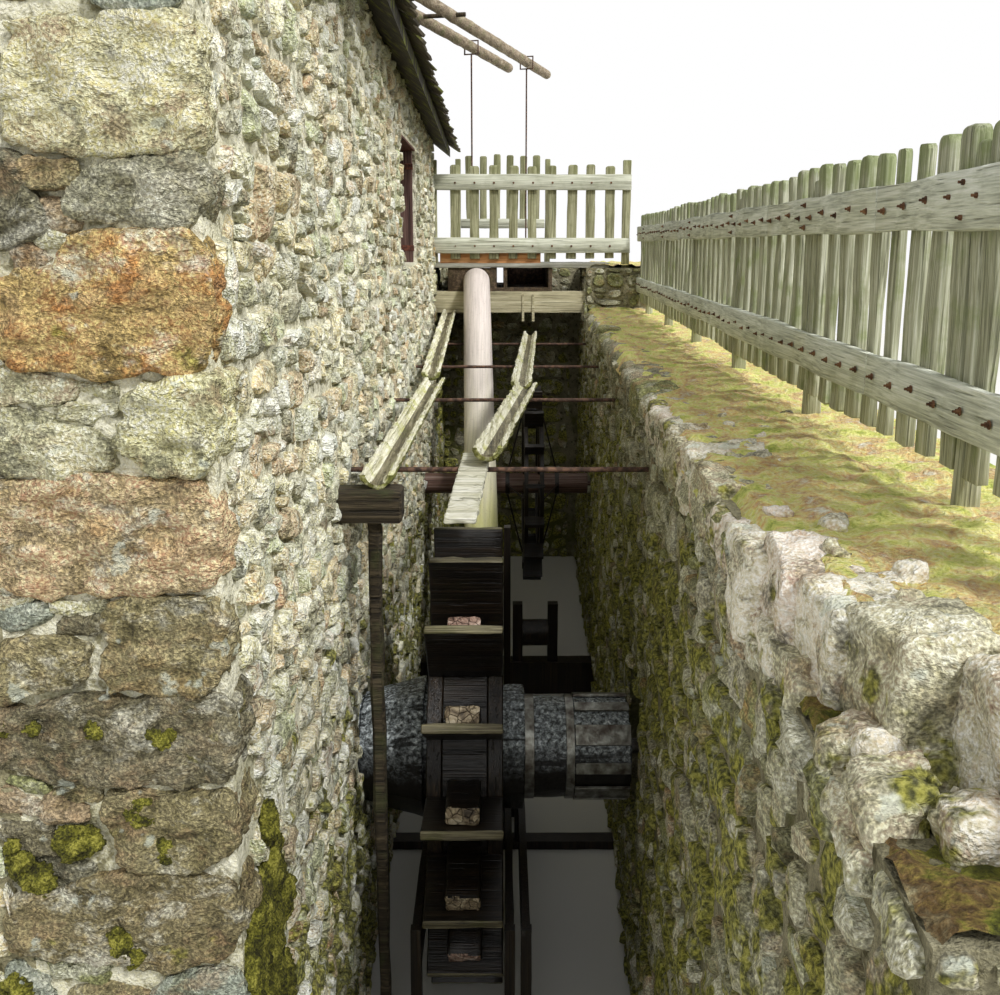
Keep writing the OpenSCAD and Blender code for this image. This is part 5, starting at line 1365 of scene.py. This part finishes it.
def shutters():
    race = shutter("race_shutter_planks", Matrix.Translation((FACE_X - SHUTTER_IN, WINDOW_Y, SILL_H)), WINDOW_W,
                   WINDOW_H)
    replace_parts(race, "race_shutter")
    keep(race, "root")
    middle = (FACE_X + REAR_X) / 2
    places = [Matrix.Translation((REAR_X + SHUTTER_IN, y + WINDOW_W, SILL_H)) @ Matrix.Rotation(math.pi, 4, "Z")
              for y in (FRONT_Y + REAR_WINDOW_Y, BACK_Y - REAR_WINDOW_Y - WINDOW_W)]
    places.append(Matrix.Translation((middle - WINDOW_W / 2, FRONT_Y + SHUTTER_IN, SILL_H))
                  @ Matrix.Rotation(-math.pi / 2, 4, "Z"))
    places.append(Matrix.Translation((middle + WINDOW_W / 2, BACK_Y - SHUTTER_IN, SILL_H))
                  @ Matrix.Rotation(math.pi / 2, 4, "Z"))
    others = joined("other_shutter_planks", [shutter("other", place, WINDOW_W, WINDOW_H) for place in places])
    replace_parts(others, "other_shutters")
    keep(others, "root")
    low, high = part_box("rear_door")
    door = shutter("rear_door_planks", Matrix.Translation((REAR_X + SHUTTER_IN, high.y, low.z))
                   @ Matrix.Rotation(math.pi, 4, "Z"), high.y - low.y, high.z - low.z - 0.018, framed=False)
    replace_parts(door, "rear_door")
    keep(door, "root")


# CAD nodes that stay take their finish

# The gable mortar and the damp mortar are darker partly as painted shade.
for node, finish in {
        "race_wall": "mortar", "front_gable_wall": "gable_mortar_painted_shade", "back_gable_wall": "mortar", "rear_wall": "mortar",
        "mill_floor": "floor_boards", "retaining_wall": "damp_mortar_painted_shade", "dam_wall": "damp_mortar_painted_shade",
        "left_abutment": "damp_mortar_painted_shade", "bearing_piers": "damp_mortar_painted_shade"}.items():
    paint(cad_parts[node], materials[finish])

mill_corners()
bank_top()
mill_masonry()
bank_masonry()
roof()
for index in range(6):
    race_fence(index)
bridge_fence()
back_railing()
near_wheel()
far_wheel()
water_lines()
shutters()


# Camera, light and stage

camera = bpy.data.objects.new("camera", bpy.data.cameras.new("camera"))
camera.location = (1.044, -5.765, 4.0)
camera.rotation_euler = (math.radians(90 - 12.6), 0, 0)
camera.data.lens = 40.68
scene.collection.objects.link(camera)
scene.camera = camera


def sky_light(name, towards, strength, spread):
    """Light from a direction, as from a patch of sky of a spread in degrees."""
    light = bpy.data.lights.new(name, "SUN")
    light.energy = strength
    light.angle = math.radians(spread)
    piece = bpy.data.objects.new(name, light)
    piece.rotation_euler = Vector(towards).to_track_quat("Z", "Y").to_euler()
    scene.collection.objects.link(piece)


sky_light("high_sky", (0.40, -0.58, 0.71), 2.3, 8)
sky_light("front_sky", (0.10, -0.85, 0.50), 0.6, 40)
sky_light("right_sky", (0.78, -0.10, 0.62), 1.9, 14)
sky_light("left_sky", (-0.70, -0.40, 0.55), 0.6, 50)

# The background shows white, and lights as a pale grey sky
world = bpy.data.worlds.new("studio")
scene.world = world
world.use_nodes = True
world.node_tree.nodes.clear()
add = partial(add_node, world.node_tree)
seen = add("LightPath", out="Is Camera Ray")
for ray in ("Is Glossy Ray", "Is Transmission Ray"):
    seen = add("Math", {0: seen, 1: add("LightPath", out=ray)}, operation="MAXIMUM")
shade = add("MixRGB", {"Fac": seen, "Color1": "#989a9c", "Color2": "#ffffff"})
add("OutputWorld", {"Surface": add("Background", {"Color": shade, "Strength": 1.0})})

bpy.ops.object.select_all(action="DESELECT")
bpy.ops.mesh.primitive_plane_add(size=90, location=(-2, 2, -0.002))
floor = bpy.context.object
floor.name = "studio_floor"
finish, add, _ = started("studio_floor")
add("OutputMaterial", {"Surface": add("BsdfDiffuse", {"Color": "#dcdad4"})})
paint(floor, finish)

scene.view_settings.view_transform = "Standard"
